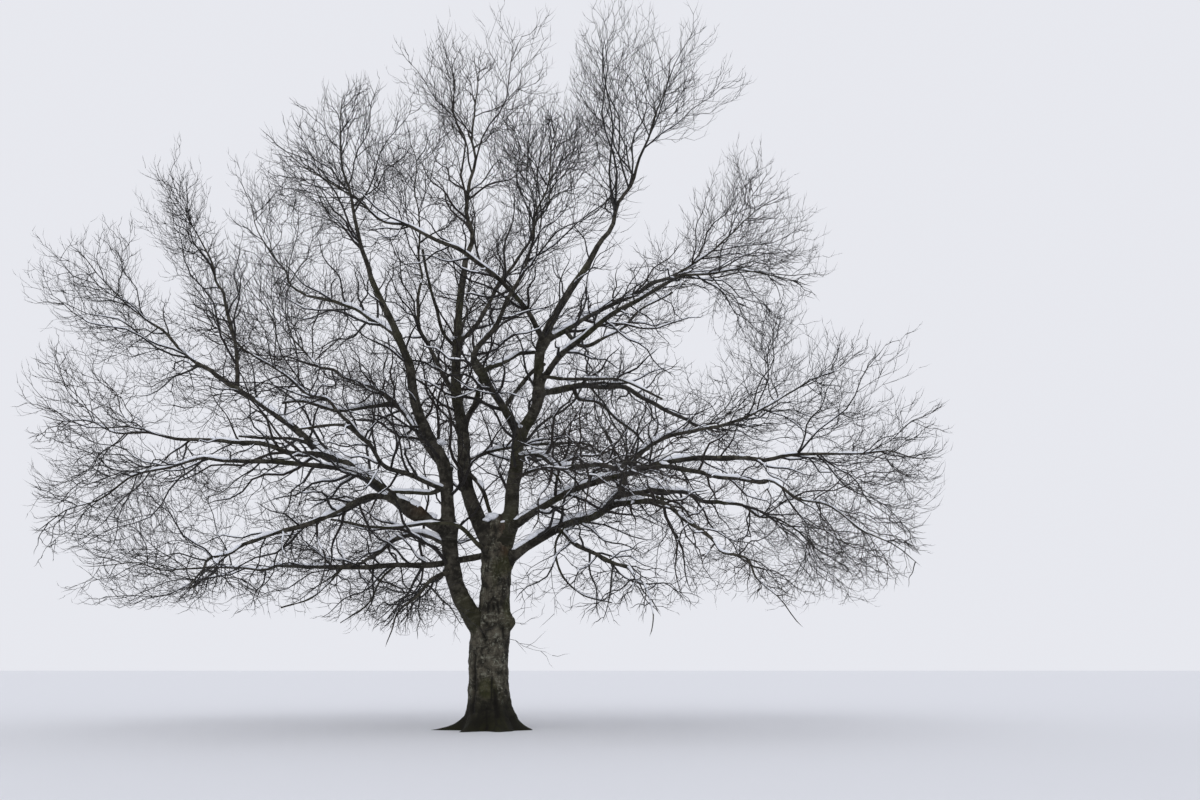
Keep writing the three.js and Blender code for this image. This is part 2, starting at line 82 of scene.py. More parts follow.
# Limbs: each springs from another at a share of its length, goes through its bends to its tip and tapers
# from one radius to the other; its twigs go on from the tip to "reach"
limbs = {
    "leftStem": {
        "on": "trunk", "at": 0.4, "habit": "rising", "seed": 11,
        "through": [
            (-0.7, -0.05, 3.05), (-1.05, -0.2, 4.25), (-1.15, -0.4, 5.7), (-1.3, -0.52, 6.65),
            (-1.8, -0.78, 7.7), (-2.3, -1.1, 9.25),
        ],
        "tip": (-3.15, -1.6, 11.25), "girth": (0.25, 0.07), "reach": (-4.0, -2.0, 16.2),
    },
    "centreStem": {
        "on": "trunk", "at": 0.86, "habit": "rising", "seed": 12,
        "through": [
            (-0.4, 0.04, 5.15), (-0.8, 0.12, 6.4), (-0.85, 0.17, 7.5), (-1.05, 0.24, 8.6),
            (-1.15, 0.37, 10.4),
        ],
        "tip": (-1.0, 0.5, 12.4), "girth": (0.22, 0.08), "reach": (-0.9, 0.6, 18.9),
    },
    "rightStem": {
        "on": "trunk", "at": 0.86, "habit": "rising", "seed": 13,
        "through": [
            (0.35, -0.02, 5.15), (0.55, 0, 6.4), (0.6, 0, 7.45), (1.0, 0.02, 8.3), (1.1, 0.1, 9.8),
            (1.55, 0.25, 10.8),
        ],
        "tip": (2.65, 0.6, 12.9), "girth": (0.215, 0.075), "reach": (4.8, 1.2, 19.0),
    },
    "crossLeft": {
        "on": "rightStem", "at": 0.65, "habit": "rising", "seed": 14,
        "through": [(0.75, -0.5, 10.7), (0.15, -1.2, 11.3), (-0.7, -2.0, 11.75)],
        "tip": (-1.35, -2.5, 11.9), "girth": (0.075, 0.05), "reach": (-4.8, -4.4, 13.5),
    },
    "rightUpper": {
        "on": "rightStem", "at": 0.63, "habit": "rising", "seed": 15,
        "through": [(1.65, 0.5, 10.45), (2.65, 1.2, 11.2)],
        "tip": (4.3, 2.2, 12.4), "girth": (0.1, 0.06), "reach": (8.2, 3.2, 15.5),
    },
    "rightArch": {
        "on": "rightStem", "at": 0.52, "habit": "hanging", "seed": 16,
        "through": [(1.95, -0.6, 9.65), (2.95, -1.6, 10.2)],
        "tip": (4.15, -2.5, 10.65), "girth": (0.085, 0.05), "reach": (7.7, -3.7, 10.3),
    },
    "rightBack": {
        "on": "rightStem", "at": 0.48, "habit": "spreading", "seed": 17,
        "through": [(1.8, 1.2, 9.0), (2.95, 2.4, 9.35), (4.05, 3.7, 9.3)],
        "tip": (5.2, 4.8, 8.95), "girth": (0.1, 0.055), "reach": (7.4, 8.0, 10.6),
    },
    "rightFront": {
        "on": "rightStem", "at": 0.28, "habit": "spreading", "seed": 18,
        "through": [(1.25, -1.0, 6.75), (1.8, -2.0, 6.2), (2.3, -3.2, 6.1)],
        "tip": (2.8, -4.4, 5.9), "girth": (0.08, 0.05), "reach": (3.9, -8.4, 5.2),
    },
    "rightLow": {
        "on": "trunk", "at": 0.78, "habit": "spreading", "seed": 19,
        "through": [
            (0.75, -0.3, 4.4), (1.85, -0.35, 5.05), (2.65, -0.3, 5.3), (3.25, -0.05, 6.05),
            (3.45, 0.15, 6.7), (4.35, 0.55, 7.45),
        ],
        "tip": (5.3, 0.9, 7.75), "girth": (0.155, 0.06), "reach": (9.9, 2.0, 10.2),
    },
    "rightBow": {
        "on": "rightLow", "at": 0.53, "habit": "spreading", "seed": 20,
        "through": [(3.7, 0.4, 6.0), (4.35, 1.0, 6.2), (5.5, 2.4, 6.1)],
        "tip": (6.3, 3.3, 6.1), "girth": (0.085, 0.055), "reach": (10.4, 5.8, 4.4),
    },
    "rightDroop": {
        "on": "rightLow", "at": 0.49, "habit": "hanging", "seed": 21,
        "through": [(3.8, -0.7, 5.65), (4.5, -1.6, 5.25)],
        "tip": (5.2, -3.0, 4.5), "girth": (0.08, 0.045), "reach": (6.9, -5.6, 2.3),
    },
    "frontDroop": {
        "on": "rightLow", "at": 0.28, "habit": "hanging", "seed": 22,
        "through": [(1.95, -0.8, 4.65), (2.7, -1.9, 4.15)],
        "tip": (3.35, -3.1, 3.75), "girth": (0.06, 0.04), "reach": (3.7, -6.4, 2.1),
    },
    "rightFar": {
        "on": "trunk", "at": 0.95, "habit": "spreading", "seed": 23,
        "through": [(1.2, -0.25, 5.45), (2.35, -0.5, 6.05), (3.5, -0.7, 6.3), (4.65, -0.9, 6.6)],
        "tip": (6.1, -1.1, 6.65), "girth": (0.12, 0.065), "reach": (11.4, -0.8, 6.7),
    },
    "rightOut": {
        "on": "rightFar", "at": 0.7, "habit": "hanging", "seed": 24,
        "through": [(5.05, -1.6, 6.25), (5.65, -2.5, 5.9)],
        "tip": (6.25, -3.3, 5.7), "girth": (0.065, 0.045), "reach": (9.6, -4.9, 3.6),
    },
    "bigLeft": {
        "on": "leftStem", "at": 0.32, "habit": "spreading", "seed": 25,
        "through": [
            (-1.55, -0.65, 5.1), (-2.25, -0.98, 5.55), (-3.3, -1.08, 6.3), (-4.45, -0.78, 6.9),
            (-5.5, -0.3, 7.8),
        ],
        "tip": (-7.65, 0.6, 9.2), "girth": (0.15, 0.065), "reach": (-11.9, 0.8, 12.9),
        "swell": {"at": 0.14, "out": 0.09, "long": 0.33},  # a lump near its root, where it forks
    },
    "leftRise": {
        "on": "bigLeft", "at": 0.9, "habit": "rising", "seed": 26,
        "through": [(-7.2, 0.85, 9.95)],
        "tip": (-7.85, 1.4, 11.6), "girth": (0.06, 0.045), "reach": (-10.0, 2.4, 15.2),
    },
    "leftFar": {
        "on": "bigLeft", "at": 0.37, "habit": "spreading", "seed": 27,
        "through": [(-4.15, -1.3, 6.7), (-4.95, -1.5, 6.7), (-5.65, -1.55, 6.95)],
        "tip": (-7.0, -1.6, 7.0), "girth": (0.08, 0.05), "reach": (-11.4, -1.3, 7.7),
    },
    "leftLow": {
        "on": "bigLeft", "at": 0.27, "habit": "spreading", "seed": 28,
        "through": [(-3.45, -1.5, 6.2), (-4.2, -2.1, 6.3), (-5.05, -2.7, 6.25)],
        "tip": (-5.8, -3.2, 6.2), "girth": (0.075, 0.05), "reach": (-9.6, -4.7, 4.3),
    },
    "leftFront": {
        "on": "bigLeft", "at": 0.21, "habit": "hanging", "seed": 29,
        "through": [(-2.9, -1.6, 5.6), (-3.6, -2.7, 5.0)],
        "tip": (-4.95, -4.3, 4.2), "girth": (0.085, 0.045), "reach": (-4.6, -8.4, 2.8),
    },
    "leftBack": {
        "on": "leftStem", "at": 0.28, "habit": "spreading", "seed": 30,
        "through": [(-1.75, 0.6, 4.85), (-2.3, 1.3, 4.95), (-3.0, 2.2, 4.85)],
        "tip": (-3.75, 3.2, 4.55), "girth": (0.085, 0.055), "reach": (-6.8, 8.0, 5.4),
    },
    "leftFlat": {
        "on": "trunk", "at": 0.88, "habit": "spreading", "seed": 41,
        "through": [(-0.9, 0.42, 4.25), (-1.55, 0.4, 4.15), (-3.35, 1.0, 4.15)],
        "tip": (-5.8, 1.9, 4.2), "girth": (0.085, 0.05), "reach": (-11.9, 3.0, 4.3),
    },
    "leftMid": {
        "on": "leftStem", "at": 0.42, "habit": "spreading", "seed": 32,
        "through": [(-2.0, -1.5, 6.2), (-2.5, -2.3, 6.3), (-2.75, -3.1, 6.7)],
        "tip": (-3.05, -3.9, 7.0), "girth": (0.065, 0.045), "reach": (-5.9, -7.2, 8.6),
    },
    "leftUp": {
        "on": "leftStem", "at": 0.47, "habit": "rising", "seed": 33,
        "through": [(-1.75, -0.1, 7.1), (-2.65, 1.0, 8.2), (-3.35, 1.9, 8.95)],
        "tip": (-4.7, 3.2, 9.75), "girth": (0.09, 0.055), "reach": (-8.4, 6.0, 13.4),
    },
    "leftOver": {
        "on": "leftStem", "at": 0.83, "habit": "rising", "seed": 34,
        "through": [(-3.2, -0.35, 10.4), (-4.0, 0.35, 11.1)],
        "tip": (-5.2, 1.4, 11.65), "girth": (0.07, 0.045), "reach": (-8.0, 2.6, 15.6),
    },
    "centreLeft": {
        "on": "centreStem", "at": 0.53, "habit": "rising", "seed": 35,
        "through": [(-1.6, 0.8, 9.45), (-2.05, 1.4, 10.3), (-2.5, 2.0, 11.15)],
        "tip": (-2.6, 2.7, 12.3), "girth": (0.07, 0.045), "reach": (-3.2, 3.4, 18.0),
    },
    "centreBack": {
        "on": "centreStem", "at": 0.48, "habit": "rising", "seed": 36,
        "through": [(-1.35, 2.0, 9.8)],
        "tip": (-1.4, 3.7, 11.6), "girth": (0.07, 0.045), "reach": (-1.4, 7.2, 15.4),
    },
    "centreRight": {
        "on": "centreStem", "at": 0.72, "habit": "rising", "seed": 37,
        "through": [(-0.8, 0.8, 10.6), (-0.4, 1.4, 11.5)],
        "tip": (0.35, 2.4, 13.25), "girth": (0.065, 0.045), "reach": (1.6, 3.6, 18.6),
    },
    "centreFront": {
        "on": "rightStem", "at": 0.35, "habit": "rising", "seed": 38,
        "through": [(0.25, -0.5, 8.0), (-0.15, -1.2, 8.65), (-0.4, -1.7, 9.15), (0.1, -2.3, 9.7)],
        "tip": (0.5, -2.9, 10.3), "girth": (0.115, 0.05), "reach": (1.8, -6.0, 13.6),
        "swell": {"at": 0.5, "out": 0.06, "long": 0.28},  # a knob where it bends
    },
    "rightRear": {
        "on": "centreStem", "at": 0.32, "habit": "spreading", "seed": 39,
        "through": [(-0.25, 0.8, 7.1), (0.7, 2.0, 7.6)],
        "tip": (2.05, 4.4, 8.1), "girth": (0.06, 0.04), "reach": (1.6, 8.8, 8.0),
    },
}

# A small spray that hangs straight from the left stem
lowSpray = {
    "on": "leftStem", "at": 0.21, "habit": "hanging", "seed": 40,
    "through": (-2.15, -1.3, 3.5), "girth": (0.07, 0.07), "reach": (-2.2, -2.7, 1.95),
}

rootSwell = {"out": 0.35, "fade": 1.6}  # a limb's thicker root, in its own radii
inset = {"share": 0.95, "slope": 0.6}  # inside what it springs from, a limb is kept slimmer than that
limbTaper = 1.1  # above 1, a limb thins most near its root
routeSteps = 60  # straight lengths in a route
stemLead = 0.45  # how far a spray's stem keeps the direction of its limb
stemStart = 0.99  # radius of a stem where it leaves its limb's tip, as a share of the tip's
stemEnd = 0.009  # radius of a stem at its far end
stemTaper = 1.15
stemEvery = 3  # of a stem's route, each third point is drawn
limbSway = {"size": 0.075, "wave": 0.95, "still": 0.6}  # bends to and fro, how long, and the straight ends
stemSway = {"size": 0.15, "wave": 0.8, "still": 0.7}
stemSwaySeed = 70
farAway = 1e9  # metres, for what doesn't count
up = np.array([0.0, 0.0, 1.0])


# Small helpers for arrays of vectors
def unit(vectors):
    return vectors / np.maximum(np.linalg.norm(vectors, axis=-1, keepdims=True), 1e-9)


def dot(a, b):
    return np.sum(a * b, axis=-1, keepdims=True)


def squareTo(ahead):
    # A unit vector square to each direction
    steep = np.abs(ahead[..., 2:3]) > 0.9
    helper = np.where(steep, np.array([1.0, 0.0, 0.0]), up)
    return unit(np.cross(ahead, helper))


def directions(points):
    # The direction at each point of a path, or of many paths at once
    before = np.concatenate([points[..., :1, :], points[..., :-1, :]], axis=-2)
    after = np.concatenate([points[..., 1:, :], points[..., -1:, :]], axis=-2)
    return unit(after - before)


def lengthOf(points):
    return np.linalg.norm(np.diff(points, axis=-2), axis=-1).sum(axis=-1)


def blendStep(value, low, high):
    share = np.clip((value - low) / (high - low), 0, 1)
    return share * share * (3 - 2 * share)


def bell(gap, width):
    # 1 where there is no gap, and next to nothing from two widths on
    return np.exp(-((gap / width) ** 2))


# Repeatable random numbers, the same as the source's: a seed always grows the same twig
wordMask = np.uint64(0xFFFFFFFF)


def drawsOf(seeds, count):
    state = seeds.astype(np.uint64)
    draws = np.empty((len(seeds), count))
    for draw in range(count):
        state = (state + np.uint64(0x6D2B79F5)) & wordMask
        mixed = ((state ^ (state >> np.uint64(15))) * (state | np.uint64(1))) & wordMask
        other = ((mixed ^ (mixed >> np.uint64(7))) * (mixed | np.uint64(61))) & wordMask
        mixed = mixed ^ ((mixed + other) & wordMask)
        draws[:, draw] = (mixed ^ (mixed >> np.uint64(14))) / 2.0 ** 32
    return draws


def childSeeds(seeds, index):
    return (seeds * np.uint64(31) + np.uint64((index + 1) * 7919)) & wordMask


cellFactors = (73856093, 19349663, 83492791)
patternStep = 3.7  # how far apart in the noise two pieces read it

# Which pattern of the noise each use of it reads; the barks read the next few too
patterns = {
    "trunkBark": 3, "wrinkle": 9, "burl": 12, "footDark": 17, "footMoss": 21, "mossPatch": 22, "rust": 23,
    "limbMoss": 23, "limbBark": 30, "swaySide": 51, "swayOther": 52, "snowCover": 77, "snowBumps": 78,
    "snowLump": 79,
}


def cellValues(cells, seed):
    mixed = (seed + 7) * 2654435
    for axis, factor in enumerate(cellFactors):
        mixed = mixed ^ cells[..., axis] * factor
    mixed = mixed & 0xFFFFFFFF
    mixed = (mixed ^ (mixed >> 13)) * 1274126177 & 0xFFFFFFFF
    mixed = (mixed ^ (mixed >> 16)) * 2246822519 & 0xFFFFFFFF
    return (mixed ^ (mixed >> 15)) / 2.0 ** 31 - 1.0


def noise(points, seed):
    # Smooth values from -1 to 1 that change over about one unit
    cell = np.floor(points).astype(np.int64)
    part = points - cell
    part = part * part * (3 - 2 * part)
    total = np.zeros(points.shape[:-1])
    for corner in np.ndindex(2, 2, 2):
        corner = np.array(corner)
        weight = np.prod(np.where(corner == 1, part, 1 - part), axis=-1)
        total += weight * cellValues(cell + corner, seed)
    return total


def alongNoise(run, wave, shift):
    # Places in the noise along one line, shifted away from other lines'
    return np.stack([run / wave, np.full(len(run), shift), np.zeros(len(run))], axis=1)


# Routes: the source's curves, as points at even distances
def pointsAt(wanted, known, points):
    # Points between the known ones of a line
    return np.stack([np.interp(wanted, known, points[:, axis]) for axis in range(3)], axis=1)


def smoothRoute(places):
    places = np.array(places, float)
    first = 2 * places[0] - places[1]
    last = 2 * places[-1] - places[-2]
    guides = np.vstack([first, places, last])
    finePoints = []
    divisions = 200
    spans = len(places) - 1
    for step in range(divisions + 1):
        at = spans * step / divisions
        span = min(int(at), spans - 1)
        share = at - span
        p0, p1, p2, p3 = guides[span:span + 4]
        d0, d1, d2 = (np.linalg.norm(b - a) ** 0.5 for a, b in ((p0, p1), (p1, p2), (p2, p3)))
        leave = ((p1 - p0) / d0 - (p2 - p0) / (d0 + d1) + (p2 - p1) / d1) * d1
        arrive = ((p2 - p1) / d1 - (p3 - p1) / (d1 + d2) + (p3 - p2) / d2) * d1
        cubic = 2 * p1 - 2 * p2 + leave + arrive
        square = -3 * p1 + 3 * p2 - 2 * leave - arrive
        finePoints.append(p1 + share * (leave + share * (square + share * cubic)))
    finePoints = np.array(finePoints)
    run = np.concatenate([[0], np.cumsum(np.linalg.norm(np.diff(finePoints, axis=0), axis=1))])
    even = np.linspace(0, run[-1], routeSteps + 1)
    return pointsAt(even, run, finePoints)


def bow(start, middle, end, share):
    return start * (1 - share) ** 2 + 2 * middle * share * (1 - share) + end * share ** 2


def pickAlong(route, share):
    return route[int(round(share * (len(route) - 1)))]


def swayed(route, seed, sway):
    # The same route with slight bends to and fro, and its two ends kept
    run = np.linspace(0, lengthOf(route), len(route))
    ends = np.clip(np.minimum(run, run[-1] - run) / sway["still"], 0, 1)
    ahead = directions(route)[:1]
    side = squareTo(ahead)
    other = np.cross(side, ahead)
    place = alongNoise(run, sway["wave"], seed * patternStep)
    toSide = noise(place, patterns["swaySide"])[:, None] * side
    toOther = noise(place, patterns["swayOther"])[:, None] * other
    return route + (toSide + toOther) * (ends * sway["size"])[:, None]


routes = {"trunk": smoothRoute(trunk["route"])}
onwards = {}
for name, limb in limbs.items():
    places = [pickAlong(routes[limb["on"]], limb["at"]), *limb["through"], limb["tip"]]
    plain = smoothRoute(places)
    onwards[name] = directions(plain)[-1]
    routes[name] = swayed(plain, limb["seed"], limbSway)
routeLengths = {name: lengthOf(route) for name, route in routes.items()}


def limbRadius(name, share):
    limb = limbs[name]
    thick, slim = limb["girth"]
    run = share * routeLengths[name]
    swollen = 1 + rootSwell["out"] * np.exp(-run / (rootSwell["fade"] * thick))
    radius = (slim + (thick - slim) * (1 - share) ** limbTaper) * swollen
    if "swell" in limb:
        swell = limb["swell"]
        radius = radius + swell["out"] * bell((share - swell["at"]) * routeLengths[name], swell["long"])
    parent = trunk["neck"] if limb["on"] == "trunk" else limbRadius(limb["on"], limb["at"])
    return np.minimum(radius, parent * inset["share"] + run * inset["slope"])


def bowRoute(start, middle, end):
    return bow(start, middle, end, np.linspace(0, 1, routeSteps + 1)[:, None])


def stemRoute(name):
    # The stem of a spray leaves its limb's tip in line with it and curves to the reach
    tip = routes[name][-1]
    reach = np.array(limbs[name]["reach"], float)
    return bowRoute(tip, tip + onwards[name] * np.linalg.norm(reach - tip) * stemLead, reach)


def stemRadius(thick, share):
    return stemEnd + (thick - stemEnd) * (1 - share) ** stemTaper


stems = {name: stemRoute(name) for name in limbs}
stems["low"] = bowRoute(
    pickAlong(routes[lowSpray["on"]], lowSpray["at"]),
    np.array(lowSpray["through"]),
    np.array(lowSpray["reach"]),
)
drawnStems = {
    name: swayed(stem, index + stemSwaySeed, stemSway) for index, (name, stem) in enumerate(stems.items())
}
owners = list(stems)
ownerRules = [lowSpray if name == "low" else limbs[name] for name in owners]
print("routes:", len(routes), "limbs and trunk,", len(stems), "stems")


# Space: how far many points are from many straight lengths, and whether a twig may be there
def segmentsOf(points, count):
    picked = np.round(np.linspace(0, len(points) - 1, count + 1)).astype(int)
    return points[picked[:-1]], points[picked[1:]]


def distanceTable(points, starts, ends):
    along = ends - starts
    square = np.maximum(np.sum(along * along, axis=1), 1e-12)
    rise = points @ along.T - np.sum(starts * along, axis=1)
    share = np.clip(rise / square, 0, 1)
    apart = (
        np.sum(points * points, axis=1)[:, None] - 2 * points @ starts.T + np.sum(starts * starts, axis=1)
        - 2 * share * rise + share * share * square
    )
    return np.sqrt(np.maximum(apart, 0)), share


space = {
    "stemPieces": 5, "limbPieces": 8, "trunkPieces": 12,
    "offLimb": 0.05,  # room kept between a twig and a limb
    "lowest": 1.9,  # no twig hangs below this height at the trunk
    "rise": 0.11,  # how much higher that is for each metre from the trunk
    "highest": 18.95,
    "beyond": 0.12,  # how much further than its stem's end a twig may reach from the crown's middle
    "overBox": 0.08,  # and how far beyond the solids' box
    "atOnce": 8000,  # points measured together
}
crownMiddle = np.array([-0.6, 0.0, 7.0])
furthest = np.array([np.linalg.norm(stems[name][-1] - crownMiddle) for name in owners]) + space["beyond"]
boxLow, boxHigh = (np.array(corner, float) for corner in cadBox)
stemStarts, stemEnds = (
    np.vstack(part) for part in zip(*(segmentsOf(stems[name], space["stemPieces"]) for name in owners))
)
solidParts = []
for name in limbs:
    radii = limbRadius(name, np.linspace(0, 1, space["limbPieces"] + 1))
    solidParts.append((*segmentsOf(routes[name], space["limbPieces"]), radii[:-1], radii[1:]))
radii = np.full(space["trunkPieces"], trunk["girth"] + burl["out"])
solidParts.append((*segmentsOf(routes["trunk"], space["trunkPieces"]), radii, radii))
limbStarts, limbEnds, limbFrom, limbTo = (np.concatenate(part) for part in zip(*solidParts))


def hasRoom(points, owner, radius, apart, onLimb):
    # True where a point is in its own spray's space, clear of every limb and within the crown's reach
    allowed = np.ones(len(points), bool)
    for first in range(0, len(points), space["atOnce"]):
        part = slice(first, first + space["atOnce"])
        spot, own = points[part], owner[part]
        rows = np.arange(len(spot))
        toStems = distanceTable(spot, stemStarts, stemEnds)[0].reshape(len(spot), len(owners), -1).min(axis=2)
        toLimbs, share = distanceTable(spot, limbStarts, limbEnds)
        reach = toStems[rows, own]
        if onLimb:
            limbCount = len(limbs) * space["limbPieces"]
            limbReach = toLimbs[:, :limbCount].reshape(len(spot), len(limbs), -1).min(axis=2)
            limbReach = np.hstack([limbReach, np.full((len(spot), 1), farAway)])
            reach = np.minimum(reach, limbReach[rows, own])
        toStems[rows, own] = farAway
        clear = toStems.min(axis=1) > reach + apart
        gap = (toLimbs - (limbFrom + (limbTo - limbFrom) * share)).min(axis=1)
        clear &= gap > radius[part] + space["offLimb"]
        clear &= spot[:, 2] > space["lowest"] + space["rise"] * np.hypot(spot[:, 0], spot[:, 1])
        clear &= spot[:, 2] < space["highest"]
        clear &= np.linalg.norm(spot - crownMiddle, axis=1) < furthest[own]
        clear &= ((spot > boxLow - space["overBox"]) & (spot < boxHigh + space["overBox"])).all(axis=1)
        allowed[part] = clear
    return allowed


# Twigs: each order grows from the one before, by the source's rule, carried two orders further
twigRule = {
    "own": [0, 9, 2],  # the source's own branches on a stem, and twigs on a branch
    "spacing": [0, 0.6, 0.42, 0.3, 0.27],  # metres of the parent for each finer one between them
    "most": [0, 16, 10, 8, 5],
    "first": 0.1,
    "last": 0.97,
    "turn": 137.5,
    "unevenTurn": 50,
    "part": [1, 1.1, 0.85, 0.8, 0.7],  # how long a finer one is, next to one of the source's
    "taper": [0, 0.66, 0.66, 0.4, 0.3],
    "longest": [9, 5, 2.8, 1.15, 0.48],
    "shortest": [0, 0.5, 0.35, 0.22, 0.14],
    "uneven": 0.2,
    "wander": 0.16,
    "thin": [1, 0.62, 0.55, 0.55, 0.7],  # radius of each order, as a share of what it grows from
    "slender": 0.0135,  # and no thicker than this share of its length
    "finest": [0, 0.014, 0.0095, 0.0068, 0.005],
    "tries": [1, 0.78, 0.58, 0.4],  # shares of its length that a twig is tried at, until it fits
    "steps": [5, 2, 1, 1, 1],
    "rings": [20, 9, 5, 3, 2],  # straight lengths drawn in each order
    "sides": [10, 5, 3, 3, 3],
    "tests": [0, 16, 7, 4, 2],  # places where a twig is tested for room
    "apart": [0, 0.12, 0.06, 0, -0.1],  # room kept between two sprays
    "sway": [0, 0.035, 0.04, 0.05, 0.05],  # bends to and fro, as a share of its length
    "spread": [1, 1, 1, 1, 0.9],  # how wide each order leaves, next to its habit
    "bends": [0.8, 1.2],  # the fewest such bends along a twig, to one side and to the other
    "drawnTaper": 0.75,  # how much slimmer a twig is drawn at its end
    "slimmest": 0.001,
    "untested": [4, 2, 1.5],  # its root isn't tested, over so many of its radii, rooms and parent's radii
    "wider": [1, 1.3, 1.2, 1, 1],  # how much wider the added ones leave than the source's own
    "addedSeed": 50,  # and how far their seeds are from those
}
orders = 4
habitAngle, habitShare, habitLift = (
    np.array([habits[rule["habit"]][key] for rule in ownerRules]) for key in ("angle", "share", "lift")
)


def turned(side, ahead, angle):
    # Each side turned round its own direction
    cos, sin = np.cos(angle)[:, None], np.sin(angle)[:, None]
    return side * cos + np.cross(ahead, side) * sin


def alongPaths(paths, share):
    at = share * (paths.shape[1] - 1)
    before = np.minimum(at.astype(int), paths.shape[1] - 2)
    part = (at - before)[:, None]
    rows = np.arange(len(paths))
    here, there = paths[rows, before], paths[rows, before + 1]
    return here + (there - here) * part, unit(there - here)


def growFrom(parents, order, index, count, shift, part, wider):
    # One twig on each parent: number "index" of "count", as arrays over all the parents
    seeds = childSeeds(parents["seed"], index + shift)
    steps = twigRule["steps"][order]
    draws = drawsOf(seeds, 4 + 3 * steps + 4)  # for its place and lean, then for each step, then for its sway
    place = (index + draws[:, 0]) / count
    share = np.clip(parents["first"] + (twigRule["last"] - parents["first"]) * place, 0, 0.99)
    start, ahead = alongPaths(parents["path"], share)
    turn = np.radians(twigRule["turn"] * index + twigRule["unevenTurn"] * draws[:, 1])
    side = turned(squareTo(ahead), ahead, turn)
    own = parents["owner"]
    vary = 1 + twigRule["uneven"] * (2 * draws[:, 2:4] - 1)
    angle = np.radians(habitAngle[own] * twigRule["spread"][order] * wider * vary[:, 0])[:, None]
    heading = ahead * np.cos(angle) + side * np.sin(angle)
    reach = parents["length"] * habitShare[own] * part * (1 - twigRule["taper"][order] * share) * vary[:, 1]
    reach = np.minimum(reach, twigRule["longest"][order])
    thick = parents["radius"](share)
    girth = thick * twigRule["thin"][order]
    girth = np.clip(np.minimum(girth, reach * twigRule["slender"]), twigRule["finest"][order], None)
    points = [start]
    leaning = heading
    for step in range(steps):
        drift = (draws[:, 4 + 3 * step:7 + 3 * step] - 0.5) * 2 * twigRule["wander"]
        leaning = unit(leaning + drift + up * (habitLift[own, order] / steps)[:, None])
        points.append(points[-1] + leaning * (reach / steps)[:, None])
    end = points[-1]
    middle = 2 * points[1] - (start + end) / 2 if steps == 2 else start + heading * (reach / 2)[:, None]
    radii, rooms, parentRadii = twigRule["untested"]
    twigs = {
        "start": start, "middle": middle, "end": end, "length": reach, "girth": girth, "owner": own,
        "seed": seeds, "draws": draws[:, -4:],
        "skip": girth * radii + space["offLimb"] * rooms + thick * parentRadii,
    }
    return pick(twigs, (index < count) & (reach > twigRule["shortest"][order]))


def pick(twigs, keep):
    return {key: value[keep] for key, value in twigs.items()}


def shortened(twigs, part):
    # The same twigs at a share of their length
    part = np.broadcast_to(part, twigs["length"].shape)
    shorter = dict(twigs, length=twigs["length"] * part)
    for key in ("middle", "end"):
        shorter[key] = twigs["start"] + (twigs[key] - twigs["start"]) * part[:, None]
    return shorter


def pathOf(twigs, share, sway):
    # Points along each twig: a bow from start to end, with a slight sway
    share = share[None, :, None]
    start, middle, end = (twigs[key][:, None] for key in ("start", "middle", "end"))
    ahead = unit(twigs["end"] - twigs["start"])
    side = squareTo(ahead)
    other = np.cross(ahead, side)
    draws = twigs["draws"][..., None, None]
    size = (twigs["length"] * sway)[:, None, None] * np.sin(np.pi * share)
    waves = (
        np.sin(2 * np.pi * (share * (bends + draws[:, first]) + draws[:, first + 1]))
        for bends, first in zip(twigRule["bends"], (0, 2))
    )
    bent = sum(wave * across[:, None] for wave, across in zip(waves, (side, other)))
    return bow(start, middle, end, share) + size * bent


def fitting(twigs, order, base):
    # Which twigs have room along their whole length, apart from the root
    if base == "free":
        return np.ones(len(twigs["seed"]), bool)
    tests = twigRule["tests"][order]
    places = pathOf(twigs, np.linspace(0, 1, tests + 1)[1:], twigRule["sway"][order])
    fromStart = np.linalg.norm(places - twigs["start"][:, None], axis=2)
    owner, girth = np.repeat(twigs["owner"], tests), np.repeat(twigs["girth"], tests)
    room = hasRoom(places.reshape(-1, 3), owner, girth, twigRule["apart"][order], base == "limb")
    return (room.reshape(-1, tests) | (fromStart < twigs["skip"][:, None])).all(axis=1)


def growOrder(parents, order, base):
    made = []
    if order < len(twigRule["own"]) and base == "stem":
        own = twigRule["own"][order]
        made += [growFrom(parents, order, index, own, 0, 1, 1) for index in range(own)]
    most = twigRule["most"][order]
    many = np.clip(np.round(parents["run"] / (twigRule["spacing"][order] * parents["sparse"])), 1, most)
    part, wider = twigRule["part"][order], twigRule["wider"][order]
    added = twigRule["addedSeed"]
    made += [growFrom(parents, order, index, many, added, part, wider) for index in range(most)]
    twigs = {key: np.concatenate([some[key] for some in made]) for key in made[0]}
    size = np.zeros(len(twigs["seed"]))
    for tried in twigRule["tries"]:
        left = np.flatnonzero(size == 0)
        trial = shortened(pick(twigs, left), tried)
        size[left[fitting(trial, order, base)]] = tried
    twigs = shortened(pick(twigs, size > 0), size[size > 0])
    twigs = pick(twigs, twigs["length"] > twigRule["shortest"][order])
    twigs["path"] = pathOf(twigs, np.linspace(0, 1, twigRule["rings"][order] + 1), twigRule["sway"][order])
    girth = twigs["girth"]
    twigs["radius"] = lambda share: np.maximum(girth * (1 - share), twigRule["slimmest"])
    return dict(twigs, run=twigs["length"], first=twigRule["first"], sparse=1)


def growAll(parents, base, lowest=1):
    grown = {}
    for order in range(lowest, orders + 1):
        parents = growOrder(parents, order, base)
        grown[order] = parents
    return grown


def seedsOf(rules):
    return np.array([rule["seed"] for rule in rules], np.uint64)


